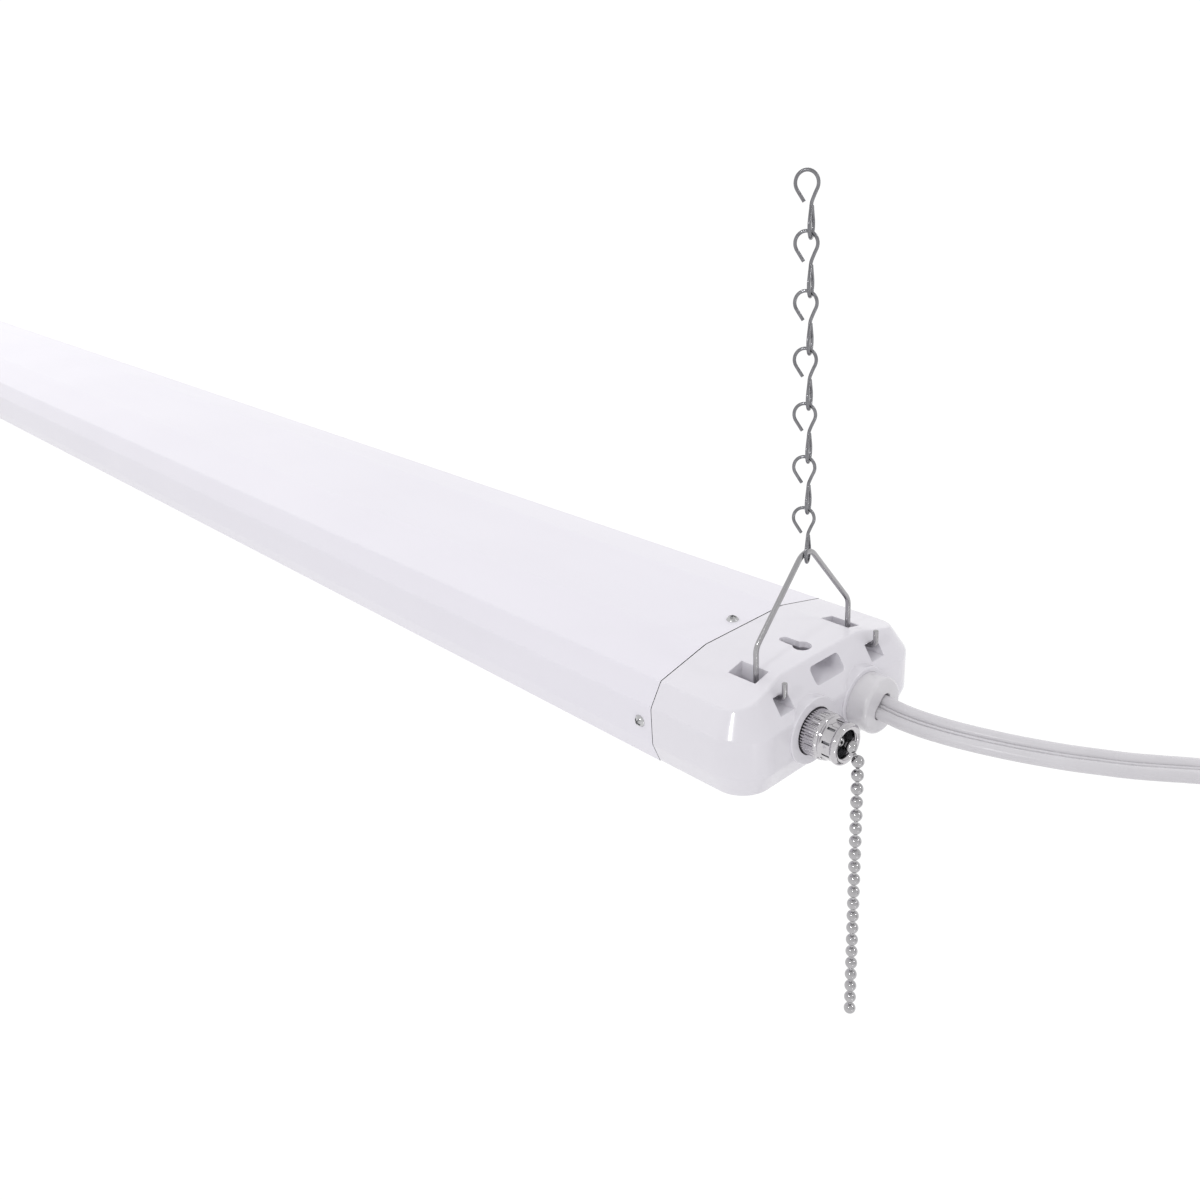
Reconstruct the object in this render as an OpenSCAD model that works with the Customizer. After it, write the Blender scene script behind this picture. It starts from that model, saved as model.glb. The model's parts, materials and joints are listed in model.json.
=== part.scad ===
// Hanging shop light: a four foot LED wrap fixture on two jack chains.
// Model space: X runs along the fixture, Y across it and Z up. The parts are drawn in
// the light's own space, with X = 0 at the seam between housing and switch cap and
// Z = 0 at the bottom of the housing, and are then moved so that the origin lies
// midway between the two ceiling hooks, where the top links bear on them.

/* [Housing] */
// Length of the sheet housing between the two end caps
housing_len = 1130; // [560:10:2400]
// Half width of the flat top
top_half = 21.6; // [18:0.1:26]
// Width of the steep slope between the gentle roof and the vertical side
steep_in = 5.7; // [3:0.1:8]
// Half width at the vertical sides
side_half = 50.8; // [49.5:0.1:56]
// How far the bottom edge stands in from the vertical side
base_in = 3.4; // [2.3:0.1:4.5]
// Height of the flat top above the bottom edge
top_z = 38; // [36.5:0.1:41]
// Height where the gentle roof slope ends
roof_z = 32.5; // [31:0.1:33.5]
// Height of the top of the vertical side
side_z = 23.5; // [21:0.1:25]
// Height of the bottom of the vertical side
skirt_z = 8.7; // [7:0.1:10]
// Thickness of the housing sheet
sheet_t = 1.2; // [0.8:0.1:1.8]
// Width of the inward lip that carries the lens
lip_w = 3.2; // [2.4:0.1:4.5]

/* [End caps] */
// Distance from the seam to the vertical end face
cap_len = 44.7; // [42:0.1:52]
// Wall of the moulded caps
cap_wall = 2.4; // [1.8:0.1:3]
// Plan radius of the vertical corners at the vertical faces
corner_r = 15; // [10:0.5:20]
// Length of the tongue that plugs into the housing
tongue_len = 12; // [9:0.5:20]
// Wall of the tongue
tongue_wall = 1.6; // [1.2:0.1:2.4]
// Clearance between the tongue and the housing sheet
tongue_gap = 0.2; // [0.1:0.05:0.5]

/* [Hook sockets] */
// Distance of the socket holes from the centre plane
socket_y = 26; // [24.5:0.1:28]
// Width of a socket hole across the cap
socket_w = 7.1; // [5.5:0.1:8]
// Near edge of the roof hole from the seam
socket_x0 = 18.3; // [16:0.1:21]
// Far edge of the roof hole from the seam
socket_x1 = 30.7; // [29.7:0.1:31.5]
// Upper edge of the mouth in the end slope from the seam
socket_x2 = 38.3; // [37.6:0.1:39]
// Wall of the socket chamber
socket_wall = 1.4; // [1:0.1:1.8]
// Floor of the socket chamber
socket_floor = 27.3; // [26.5:0.1:28.5]

/* [Keyhole and window] */
// Centre of the screw head hole of the keyhole from the seam
keyhole_x = 27.5; // [26:0.1:29]
// Diameter of the screw head hole
keyhole_d = 6.8; // [5:0.1:8]
// Width of the keyhole slot
keyhole_slot = 3.8; // [3:0.1:4.8]
// Length from the head hole's centre to the slot's round end
keyhole_run = 8.1; // [6:0.1:9]
// Width of the window in the end slope
window_w = 16; // [12:0.1:20]
// Height of the window's lower edge
window_z0 = 29.5; // [28:0.1:31]
// Height of the window's upper edge
window_z1 = 35.6; // [34:0.1:35.8]
// Corner radius of the window
window_r = 1.6; // [0.5:0.1:2.5]

/* [Pull switch] */
// Distance of the switch axis from the centre plane
switch_y = 15.1; // [14.2:0.1:16]
// Height of the switch and cord axes
axis_z = 16.4; // [15.6:0.1:17.5]
// Radius of the two round bosses
boss_r = 12.7; // [12:0.1:13]
// Front plane of the two bosses from the seam
boss_x = 45.4; // [44.8:0.1:54]
// Radius of the recess round the knurled nut
recess_r = 9.1; // [8.8:0.1:9.6]
// Radius of the knurled nut
nut_r = 8.6; // [8:0.1:8.65]
// Front face of the knurled nut from the boss face
nut_out = 6.9; // [5:0.1:8]
// Number of teeth round the nut
nut_teeth = 48; // [24:1:72]
// Radius of the threaded bushing
bushing_r = 4.8; // [4.5:0.1:5.2]
// Length of the bell in front of the nut
bell_len = 7.4; // [6:0.1:10]
// Radius of the bell's barrel
bell_r = 7.5; // [7:0.1:7.7]
// Radius of the bell's rolled lip
bell_lip_r = 7.9; // [7.8:0.1:8.5]

/* [Pull chain] */
// Diameter of a bead
bead_d = 4.5; // [3.6:0.1:4.6]
// Distance between neighbouring beads
bead_pitch = 5.55; // [5.4:0.05:6.2]
// Diameter of the wire between the beads
bead_wire = 1.3; // [0.9:0.1:1.5]
// Beads that hang below the swivel point
bead_count = 20; // [8:1:60]
// Distance of the hanging beads in front of the bell's mouth
bead_out = 4.2; // [3.4:0.1:6]
// Travel of the pull chain
pull_travel = 4.5; // [2:0.1:4.8]

/* [Power cord] */
// Distance of the cord axis from the centre plane
gland_y = 13.9; // [13.4:0.1:15]
// Radius of the cord gland
gland_r = 10.7; // [10.2:0.1:11.2]
// Gland length in front of its boss
gland_out = 7.5; // [5:0.1:12]
// Width of the flat cord
cord_w = 9.5; // [9:0.1:9.8]
// Thickness of the flat cord
cord_t = 4.6; // [4.2:0.1:4.8]
// Radius of the first turn of the put away coil, at the cord's middle
coil_r = 56; // [52:0.5:58]
// Clear gap between neighbouring turns
turn_gap = 0.9; // [0.6:0.1:1.5]

/* [Wire hangers] */
// Diameter of the hanger wire
hanger_d = 2; // [1.6:0.1:2.4]
// Distance of the hanger's legs from the seam
hanger_x = 28.1; // [27:0.1:29]
// Distance between a leg and its upturned end
hanger_hook = 12.7; // [12.2:0.1:13]
// Height of the hanger's tip at the apex, at the wire's middle
hanger_top = 74.1; // [65:0.1:110]
// Height of the bend between the upright leg and the sloping leg
hanger_bend = 47.5; // [44:0.1:56]
// Height of the upturned ends
hanger_end = 38.4; // [36:0.1:40]
// Height of the level run inside the cap, at the wire's middle
hanger_low = 31.7; // [31:0.1:32]

/* [Jack chain] */
// Wire diameter of the jack chain
link_wire = 1.1; // [0.9:0.05:1.3]
// Distance between neighbouring links
link_pitch = 18.2; // [17.6:0.1:24]
// Radius of the hooks at the wire's middle
link_r = 3.8; // [3.7:0.05:4.4]
// Radius of the eyes at the wire's middle
eye_r = 3.5; // [3.4:0.05:3.9]
// Links in each chain, with the top one
link_count = 7; // [3:1:40]

/* [Lamp gear] */
// Thickness of the flat lens
lens_t = 1.6; // [1:0.1:2.5]
// Height of the gear tray's underside above the bottom edge
tray_z = 13; // [11:0.1:14]
// Thickness of the gear tray
tray_t = 0.8; // [0.6:0.1:1.2]
// Width of each circuit board
board_w = 14; // [10:0.5:18]
// Distance of each circuit board from the centre plane
board_y = 20; // [16:0.5:24]
// Light emitters on each board
led_count = 48; // [16:1:120]
// Length of the driver case
driver_len = 150; // [100:1:180]
// Width of the driver case
driver_w = 34; // [28:0.5:40]
// Height of the driver case with its cover
driver_h = 18; // [14:0.5:20]

/* [Hidden] */

fine = 48;                      // facets shown on round parts
hair = 0.3;                     // running gap between parts of different bodies
seat = 0.25;                    // seating gap between parts that rest on each other
over = 1;                       // how far a cutter runs past what it cuts
bend_lap = 0.2;                 // how far a straight of a wire runs into its bends
bend_ease = 0.02;               // how much slimmer the straights are than the bends

// slopes of the section
roof_half = side_half - steep_in;
base_half = side_half - base_in;
roof_fall = (top_z - roof_z) / (roof_half - top_half);
steep_run = steep_in / (roof_z - side_z);
end_top_x = cap_len - (top_z - side_z) * steep_run;
skirt_run = base_in / skirt_z;
function end_height(x) = top_z - (x - end_top_x) / steep_run;

// chain and hanger heights. A hook's circle stands off the chain's line by hook_aside
link_gap = 0.35;
eye_gap = 0.5;                  // between the last link's eye and the hanger
hook_aside = 1.4;
hook_turn = 54;                 // compass angle of the plane of the hooks
shank_drop = 8.2;               // from a hook's middle down to the bend in the shank
hook_inside = link_r - link_wire - link_gap;
hook_z = link_pitch - sqrt(hook_inside * hook_inside - hook_aside * hook_aside);
loop_low = hanger_top - hanger_d / 2 - link_wire / 2 - eye_gap;
top_link_z = loop_low + (link_count - 1) * link_pitch;
hang_reach = link_r - link_wire / 2;
ceiling_z = top_link_z + hook_z + sqrt(hang_reach * hang_reach - hook_aside * hook_aside);
hang_near = hanger_x + 1.3;
hang_far = -housing_len - hang_near;
hanger_bend_r = 2.6;            // bends of the buried hook, at the wire's middle

// switch, bell and beads
boss_x0 = boss_x - 7.4;         // inner end of the bosses
recess_x = boss_x - 3.2;        // floor of the recesses in the bosses
nut_x1 = boss_x + nut_out;
mouth_x = nut_x1 + bell_len;
bead_x = mouth_x + bead_out;
neck_drop = 4.7;
neck_z = axis_z - neck_drop;
mouth_dx = sqrt(bead_pitch * bead_pitch - neck_drop * neck_drop);
switch_len = 24;
switch_w = 11;
switch_h = 20;
plunger_x0 = boss_x0 - 7.5 - pull_travel;

// cord gland
gland_x1 = boss_x + gland_out;
gland_neck_r = 7.4;
gland_nut_r = 9;
cord_x0 = recess_x - 1.2;       // where the cord's jacket ends inside the gland
cord_slope = 45;                // lean of the flat cord in the gland

// coil of put away cord: where it hangs and how it winds
coil_x = 225;
coil_y = 68;
coil_z = -64;
coil_start = 30;                // degrees past the top of the coil
coil_end = 90 + 4 * 360;
turn_step = cord_t + turn_gap;
layer_step = cord_w + turn_gap;
rings_a_turn = 24;
tie_turn = -14;                 // where the tie grips the turns
tail_len = 34;
plug_len = 38;
plug_w = 25;
plug_t = 20;

// route of the free cord, in the light's own space
cord_route = [[cord_x0, gland_y, axis_z], [47, 13.9, 16.3], [54, 13.8, 16.1], [61, 13.4, 15.8],
    [69, 14, 15.5], [77, 15.2, 15.4], [85, 17, 15.3], [93, 19.2, 15.3],
    [101, 21.9, 15.2], [109, 24.9, 15.2], [117, 28.4, 15.1], [125, 32.4, 15.1],
    [133, 36.8, 15], [141, 41.9, 15], [148.5, 47.2, 14.9], [156, 52.2, 14.7],
    [163.8, 56.8, 14.3], [172, 60.7, 13.6], [181, 63.9, 12.4], [190, 66, 10.7],
    [199.5, 67.3, 8.5], [209, 67.8, 5.7], [218.5, 68, 2.3], [228, 68, -1.8],
    [236.5, 68, -6.3], [244, 68, -10.6],
    [coil_x + coil_r * sin(coil_start), coil_y, coil_z + coil_r * cos(coil_start)]];

// gear above the tray
tray_end = tongue_len + 3;      // distance of the tray's ends from the seams
tray_half = 38;
lens_z1 = sheet_t + lens_t;
board_t = 1.2;
board_len = housing_len - 2 * tray_end - 20;
board_hole = 2.2;
board_holes = 6;
led_size = [3.5, 2.8, 0.7];
driver_x1 = -60;                // end of the driver case nearest the switch
driver_x0 = driver_x1 - driver_len;
driver_wall = 1.2;
driver_foot = 9;
driver_z = tray_z + tray_t;
lead_d = 2;
lead_hole_x = driver_x0 - 30;
ground_at = [-20, 22];

module hung() { translate([-(hang_near + hang_far) / 2, 0, -ceiling_z]) children(); }

// ---- helpers -------------------------------------------------------------

function unit(v) = v / norm(v);
function turn_at(a, b) = acos(min(1, max(-1, unit(a) * unit(b))));
function in_plane(turn, p, z) = [p[0] * cos(turn), p[0] * sin(turn), p[1] + z];

// a round bar from a to b
module bar(a, b, d) {
    v = b - a;
    translate(a)
        rotate([0, acos(v[2] / norm(v)), atan2(v[1], v[0])])
            cylinder(h = norm(v), d = d, $fn = 16);
}

// a wire that follows the points p and is bent at each one with the radius r
module bent_wire(p, r, d) {
    last = len(p) - 1;
    cut = [for (i = [0 : last])
        i == 0 || i == last ? 0 : r[i] * tan(turn_at(p[i] - p[i - 1], p[i + 1] - p[i]) / 2)];
    for (i = [0 : last - 1]) {
        along = unit(p[i + 1] - p[i]);
        a = p[i] + along * (cut[i] - (i == 0 ? 0 : bend_lap));
        b = p[i + 1] - along * (cut[i + 1] - (i == last - 1 ? 0 : bend_lap));
        bar(a, b, d - 2 * bend_ease);
    }
    for (i = [1 : last - 1]) {
        a = unit(p[i] - p[i - 1]);
        b = unit(p[i + 1] - p[i]);
        bend = turn_at(a, b);
        if (bend > 1) {
            c = p[i] + unit(b - a) * r[i] / cos(bend / 2);
            e = unit(p[i] - a * cut[i] - c);
            n = cross(e, a);
            multmatrix([[e[0], a[0], n[0], c[0]], [e[1], a[1], n[1], c[1]],
                        [e[2], a[2], n[2], c[2]], [0, 0, 0, 1]])
                rotate_extrude(angle = bend, $fn = 48)
                    translate([r[i], 0])
                        circle(d = d, $fn = 16);
        }
    }
}

// ---- section of the body -------------------------------------------------

// half of the housing's section, moved in by d and cut off at the height low
function half_section(d, low) = [
    [base_half + skirt_run * low - d * 1.07, low],
    [side_half - d, skirt_z + d * 0.2],
    [side_half - d, side_z - d * 0.3],
    [roof_half - d * 0.45, roof_z - d],
    [top_half - d * 0.12, top_z - d],
];
function both_halves(s) = concat(s, [for (i = [len(s) - 1 : -1 : 0]) [-s[i][0], s[i][1]]]);

module along_x(x0, x1) {
    translate([x0, 0, 0]) rotate([90, 0, 90]) linear_extrude(x1 - x0) children();
}
module section_bar(x0, x1, d, low) { along_x(x0, x1) polygon(both_halves(half_section(d, low))); }

// how far the cap's walls stand in from the widest level: [inset, height]
function cap_edge(d, low) = [
    [skirt_run * (skirt_z - low) + d * 1.07, low],
    [d, skirt_z + d * 0.2],
    [d, side_z - d * 0.3],
    [steep_run * (top_z - side_z) + d * 0.55, top_z - d],
];

// the cap as a solid from the plane x0, with every wall moved in by d
module cap_block(x0, d, low) {
    edge = cap_edge(d, low);
    top = edge[3][1];
    intersection() {
        union() {
            // between the rounded corners, front to back
            translate([0, corner_r - side_half, 0]) rotate([90, 0, 0]) mirror([0, 0, 1])
                linear_extrude(2 * (side_half - corner_r))
                    polygon(concat([[x0, top], [x0, low]],
                        [for (e = edge) [cap_len - e[0], e[1]]]));
            // side to side, up to where the corners begin
            along_x(x0, cap_len - corner_r)
                polygon(both_halves([for (e = edge) [side_half - e[0], e[1]]]));
            for (s = [-1, 1])
                translate([cap_len - corner_r, s * (side_half - corner_r), 0])
                    rotate_extrude($fn = 96)
                        polygon(concat([[0, top], [0, low]],
                            [for (e = edge) [corner_r - e[0], e[1]]]));
        }
        // the gentle roof over the steep walls
        along_x(x0 - over, cap_len + over)
            polygon([[-side_half - over, low - over], [side_half + over, low - over],
                [side_half + over, top_z - 1.03 * d - roof_fall * (side_half + over - top_half)],
                [top_half, top_z - 1.03 * d], [-top_half, top_z - 1.03 * d],
                [-side_half - over,
                    top_z - 1.03 * d - roof_fall * (side_half + over - top_half)]]);
    }
}

// ---- end caps ------------------------------------------------------------

module socket_room(grow, x1) {
    for (s = [-1, 1])
        translate([socket_x0 - grow, s * socket_y - socket_w / 2 - grow, socket_floor - grow])
            cube([x1 - socket_x0 + grow, socket_w + 2 * grow, top_z]);
}

module socket_mouths() {
    for (s = [-1, 1]) {
        translate([socket_x0, s * socket_y - socket_w / 2, socket_floor])
            cube([socket_x1 - socket_x0, socket_w, top_z]);
        // mouth in the end slope, level with the floor of the chamber
        translate([socket_x2, s * socket_y - socket_w / 2, socket_floor])
            cube([cap_len, socket_w, end_height(socket_x2) - socket_floor]);
    }
}

// level ways for the buried part of the hanger under the bridge and through the end slope
module hook_ways() {
    for (s = [-1, 1])
        translate([socket_x0, s * socket_y - socket_w / 2, socket_floor])
            cube([socket_x2 + over - socket_x0, socket_w,
                  hanger_low + hanger_d / 2 + seat - socket_floor]);
}

// web under the bridge that the buried bend of the hanger pulls against
module socket_webs() {
    for (s = [-1, 1])
        intersection() {
            translate([hanger_x + hanger_hook / 2 - 1.2, s * socket_y - socket_w / 2 - over,
                       hanger_low + hanger_d / 2 + seat])
                cube([2.4, socket_w + 2 * over, top_z]);
            cap_block(0, cap_wall / 2, 0);
        }
}

// the window is a blind pocket that runs level into the cap
module window_box(x0, grow) {
    translate([x0, 0, (window_z0 + window_z1) / 2]) rotate([0, 90, 0])
        rounded_plate(window_z1 - window_z0 + 2 * grow, window_w + 2 * grow, window_r + grow,
            cap_len);
}

module rounded_plate(a, b, r, h) {
    linear_extrude(h) {
        square([a - 2 * r, b], center = true);
        square([a, b - 2 * r], center = true);
        for (i = [-1, 1], j = [-1, 1])
            translate([i * (a / 2 - r), j * (b / 2 - r)]) circle(r = r, $fn = fine);
    }
}

module keyhole_cut() {
    translate([keyhole_x, 0, top_z - cap_wall * 2]) {
        cylinder(h = cap_wall * 3, d = keyhole_d, $fn = fine);
        translate([-keyhole_run, 0, 0]) cylinder(h = cap_wall * 3, d = keyhole_slot, $fn = fine);
        translate([-keyhole_run, -keyhole_slot / 2, 0])
            cube([keyhole_run, keyhole_slot, cap_wall * 3]);
    }
}

module cap_screw_places() {
    translate([-tongue_len / 2, 0, top_z]) children();
    for (s = [-1, 1])
        translate([-tongue_len / 2, s * side_half, (side_z + skirt_z) / 2])
            rotate([-s * 90, 0, 0]) children();
}

module tongue() {
    difference() {
        section_bar(-tongue_len, 3, sheet_t + tongue_gap, skirt_z);
        section_bar(-tongue_len - over, 3 + over, sheet_t + tongue_gap + tongue_wall, skirt_z - over);
        translate([-tongue_len - over, -side_half, skirt_z - over])
            cube([tongue_len + 4 + 2 * over, 2 * side_half, over + 1.5]);
    }
}

module cap_shell() {
    window_x0 = keyhole_x - keyhole_run - keyhole_slot / 2 - 1.5;
    difference() {
        union() {
            difference() {
                cap_block(0, 0, 0);
                cap_block(-over, cap_wall, cap_wall);
            }
            intersection() {
                socket_room(socket_wall, cap_len);
                cap_block(0, cap_wall / 2, cap_wall / 2);
            }
            intersection() {
                window_box(window_x0 - socket_wall, socket_wall);
                cap_block(0, cap_wall / 2, cap_wall / 2);
            }
            tongue();
        }
        difference() {
            intersection() {
                socket_room(0, cap_len);
                cap_block(0, cap_wall, cap_wall);
            }
            socket_webs();
        }
        hook_ways();
        socket_mouths();
        keyhole_cut();
        window_box(window_x0, 0);
        cap_screw_places() translate([0, 0, -8]) cylinder(h = 9, d = 3.2, $fn = fine);
    }
}

module boss_at(y, x0, x1, r) {
    translate([x0, y, axis_z]) rotate([0, 90, 0]) cylinder(h = x1 - x0, r = r, $fn = 96);
}

module switch_cap() color("white") {
    difference() {
        union() {
            cap_shell();
            boss_at(-switch_y, boss_x0, boss_x, boss_r);
            boss_at(gland_y, boss_x0, boss_x, boss_r);
        }
        boss_at(-switch_y, boss_x0 - over, boss_x, bushing_r + hair);
        boss_at(-switch_y, recess_x, boss_x + over, recess_r);
        boss_at(gland_y, boss_x0 - over, boss_x, gland_neck_r + 0.1);
        boss_at(gland_y, recess_x, boss_x + over, gland_r + 0.15);
    }
}

module at_far_end() { translate([-housing_len, 0, 0]) mirror([1, 0, 0]) children(); }

module plain_cap() color("white") at_far_end() cap_shell();

// pan head screw with a cross recess, its seat at the height 0
module pan_screw(d, h, shank, long) {
    difference() {
        intersection() {
            cylinder(h = h, d = d, $fn = fine);
            translate([0, 0, h - 0.62 * d]) sphere(r = 0.62 * d, $fn = fine);
        }
        for (a = [0, 90])
            rotate([0, 0, a]) translate([-d * 0.3, -d * 0.07, h * 0.5])
                cube([d * 0.6, d * 0.14, h]);
    }
    translate([0, 0, -long]) cylinder(h = long + 0.2, d = shank, $fn = fine);
}

module cap_screws() { cap_screw_places() pan_screw(4.9, 1.6, 2.9, 7); }
module switch_cap_screws() color("silver") cap_screws();
module plain_cap_screws() color("silver") at_far_end() cap_screws();

// ---- housing, lens and tray ----------------------------------------------

module housing() color("white") {
    difference() {
        section_bar(-housing_len, 0, 0, 0);
        section_bar(-housing_len - over, over, sheet_t, sheet_t);
        translate([-housing_len - over, lip_w - base_half, -over])
            cube([housing_len + 2 * over, 2 * (base_half - lip_w), 2 * over + sheet_t]);
        for (far = [0, 1])
            translate([-far * housing_len, 0, 0]) mirror([far, 0, 0])
                cap_screw_places() translate([0, 0, -3]) cylinder(h = 4, d = 3.2, $fn = fine);
    }
}

module lens() color([0.96, 0.96, 0.95]) {
    lens_half = base_half - sheet_t - 0.4;
    translate([-housing_len + hair, -lens_half, sheet_t])
        cube([housing_len - 2 * hair, 2 * lens_half, lens_t]);
}

// bent sheet that carries the boards below and the driver above
module gear_tray() color("whitesmoke") {
    foot_y = base_half - sheet_t - 1;
    foot_z = lens_z1 + seat;
    half = [[tray_half, tray_z], [foot_y - 1.4, foot_z + 0.8], [foot_y - 1.4, foot_z],
        [foot_y, foot_z], [foot_y, foot_z + 1.2], [tray_half + 0.5, tray_z + tray_t]];
    difference() {
        along_x(-housing_len + tray_end, -tray_end) polygon(both_halves(half));
        for (s = [-1, 1]) {
            translate([lead_hole_x, s * board_y, tray_z - over])
                cylinder(h = tray_t + 2 * over, d = 5, $fn = fine);
            board_hole_places(s)
                translate([0, 0, -over]) cylinder(h = 4, d = board_hole, $fn = fine);
        }
        driver_screw_places() translate([0, 0, -4]) cylinder(h = 6, d = 2.6, $fn = fine);
        translate([ground_at[0], ground_at[1], tray_z - over])
            cylinder(h = tray_t + 2 * over, d = 3.4, $fn = fine);
    }
}

// ---- boards --------------------------------------------------------------

module board_hole_places(s) {
    step = (board_len - 30) / (board_holes - 1);
    for (i = [0 : board_holes - 1])
        translate([-housing_len / 2 - board_len / 2 + 15 + i * step, s * (board_y + board_w / 2 - 3),
                   tray_z - board_t])
            children();
}

module board(s) {
    difference() {
        translate([-housing_len / 2 - board_len / 2, s * board_y - board_w / 2, tray_z - board_t])
            cube([board_len, board_w, board_t]);
        board_hole_places(s)
            translate([0, 0, -over]) cylinder(h = board_t + 2 * over, d = board_hole, $fn = fine);
    }
}
module board_front() color("ghostwhite") board(-1);
module board_back() color("ghostwhite") board(1);

module leds(s) {
    step = board_len / led_count;
    for (i = [0 : led_count - 1])
        translate([-housing_len / 2 - board_len / 2 + (i + 0.5) * step - led_size[0] / 2,
                   s * (board_y - 1.5) - led_size[1] / 2, tray_z - board_t - led_size[2]])
            cube(led_size);
}
module leds_front() color("khaki") leds(-1);
module leds_back() color("khaki") leds(1);

module board_screws() color("silver")
    for (s = [-1, 1])
        board_hole_places(s)
            mirror([0, 0, 1]) {
                cylinder(h = 0.9, d = 3.6, $fn = fine);
                translate([0, 0, -3.4]) cylinder(h = 3.5, d = board_hole - 0.3, $fn = fine);
            }

// ---- driver --------------------------------------------------------------

module driver_screw_places() {
    for (x = [driver_x0 - driver_foot / 2, driver_x1 + driver_foot / 2])
        translate([x, 0, driver_z + driver_wall]) children();
}

module driver_case() color("gainsboro") {
    difference() {
        union() {
            translate([driver_x0, -driver_w / 2, driver_z])
                cube([driver_len, driver_w, driver_h - 2]);
            translate([driver_x0 - driver_foot, -7, driver_z])
                cube([driver_len + 2 * driver_foot, 14, driver_wall]);
        }
        translate([driver_x0 + driver_wall, driver_wall - driver_w / 2, driver_z + driver_wall])
            cube([driver_len - 2 * driver_wall, driver_w - 2 * driver_wall, driver_h]);
        driver_screw_places() translate([0, 0, -4]) cylinder(h = 6, d = 3, $fn = fine);
    }
}

module driver_cover() color("gainsboro") {
    lid = 1.2;
    translate([driver_x0, -driver_w / 2, driver_z + driver_h - 2])
        cube([driver_len, driver_w, lid]);
    difference() {
        translate([driver_x0 + driver_wall + 0.2, driver_wall + 0.2 - driver_w / 2,
                   driver_z + driver_h - 4.5])
            cube([driver_len - 2 * driver_wall - 0.4, driver_w - 2 * driver_wall - 0.4, 2.6]);
        translate([driver_x0 + 2 * driver_wall + 0.2, 2 * driver_wall + 0.2 - driver_w / 2,
                   driver_z + driver_h - 6])
            cube([driver_len - 4 * driver_wall - 0.4, driver_w - 4 * driver_wall - 0.4, 4]);
    }
}

// circuit board of the driver with its transformer, coils and capacitors
module driver_board() color("darkgreen") {
    at_x = driver_x0 + driver_wall + 1;
    board_top = driver_z + driver_wall + 1.6;
    translate([at_x, -driver_w / 2 + driver_wall + 1, driver_z + driver_wall])
        cube([driver_len - 2 * driver_wall - 2, driver_w - 2 * driver_wall - 2, 1.6]);
    translate([at_x + driver_len * 0.42, -8, board_top]) cube([20, 16, 9]);
    translate([at_x + driver_len * 0.62, -6, board_top]) cube([10, 12, 8]);
    for (x = [0.14, 0.24, 0.34])
        translate([at_x + driver_len * x, 3, board_top]) cylinder(h = 9, d = 8, $fn = fine);
    for (x = [0.74, 0.84])
        translate([at_x + driver_len * x, -4, board_top]) cylinder(h = 8.5, d = 7, $fn = fine);
}

module driver_screws() color("silver")
    driver_screw_places() pan_screw(5, 1.8, 2.4, 3.2);

module ground_screw() color("green")
    translate([ground_at[0], ground_at[1], driver_z + lead_d]) pan_screw(6.4, 2, 3.1, lead_d + tray_t + 1.2);

// ---- pull switch ---------------------------------------------------------

module on_switch_axis(x) { translate([x, -switch_y, axis_z]) rotate([0, 90, 0]) children(); }

module switch_body() color("dimgray") {
    difference() {
        translate([boss_x0 - switch_len, -switch_y - switch_w / 2, axis_z - switch_h / 2])
            cube([switch_len, switch_w, switch_h]);
        on_switch_axis(plunger_x0 - hair) cylinder(h = switch_len, r = 2.4, $fn = fine);
    }
}

module switch_bushing() color("silver")
    difference() {
        on_switch_axis(boss_x0) cylinder(h = nut_x1 + 2 - boss_x0, r = bushing_r, $fn = fine);
        on_switch_axis(boss_x0 - over)
            cylinder(h = nut_x1 + 4 - boss_x0, r = bead_d / 2 + hair, $fn = fine);
    }

module switch_nut() color("silver")
    difference() {
        on_switch_axis(recess_x) cylinder(h = nut_x1 - recess_x, r = nut_r, $fn = 96);
        on_switch_axis(recess_x - over)
            cylinder(h = nut_x1 - recess_x + 2 * over, r = bushing_r + 0.05, $fn = fine);
        for (i = [0 : nut_teeth - 1])
            on_switch_axis(recess_x + 0.8) rotate([0, 0, i * 360 / nut_teeth])
                translate([nut_r, 0, 0]) rotate([0, 0, 45])
                    cube([0.5, 0.5, (nut_x1 - recess_x) * 1.4], center = false);
    }

// spun bell with a rolled lip, slots round the barrel and a step behind it
module switch_bell() color("silver")
    on_switch_axis(nut_x1)
        difference() {
            union() {
                cylinder(h = 2.2, r = nut_r - 0.4, $fn = 96);
                cylinder(h = bell_len - 1.4, r = bell_r, $fn = 96);
                translate([0, 0, bell_len - 1.4]) rotate_extrude($fn = 96)
                    translate([bell_lip_r - 1.4, 0]) circle(r = 1.4, $fn = fine);
            }
            translate([0, 0, -over]) cylinder(h = 3.2, r = bushing_r + 0.05, $fn = fine);
            translate([0, 0, 1.2]) cylinder(h = bell_len, r = bell_lip_r - 2.8, $fn = 96);
            translate([0, 0, 1.2]) cylinder(h = bell_len - 3, r = bell_r - 0.9, $fn = 96);
            for (i = [0 : 11])
                rotate([0, 0, i * 30 + 7.5]) translate([0, -0.65, 2.5])
                    cube([nut_r, 1.3, bell_len - 4]);
        }

module bead(x, z) { translate([x, -switch_y, z]) sphere(d = bead_d, $fn = 32); }

module switch_plunger() color("silver") {
    inner_x = bead_x - mouth_dx - bead_pitch;
    rod_x1 = inner_x - bead_pitch + bead_d / 2;
    on_switch_axis(plunger_x0) cylinder(h = rod_x1 - plunger_x0, r = 1.5, $fn = fine);
    on_switch_axis(rod_x1 - 1) cylinder(h = bead_pitch - bead_d / 2 + 1, d = bead_wire, $fn = fine);
    on_switch_axis(inner_x) sphere(d = bead_d, $fn = 32);
}

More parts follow.
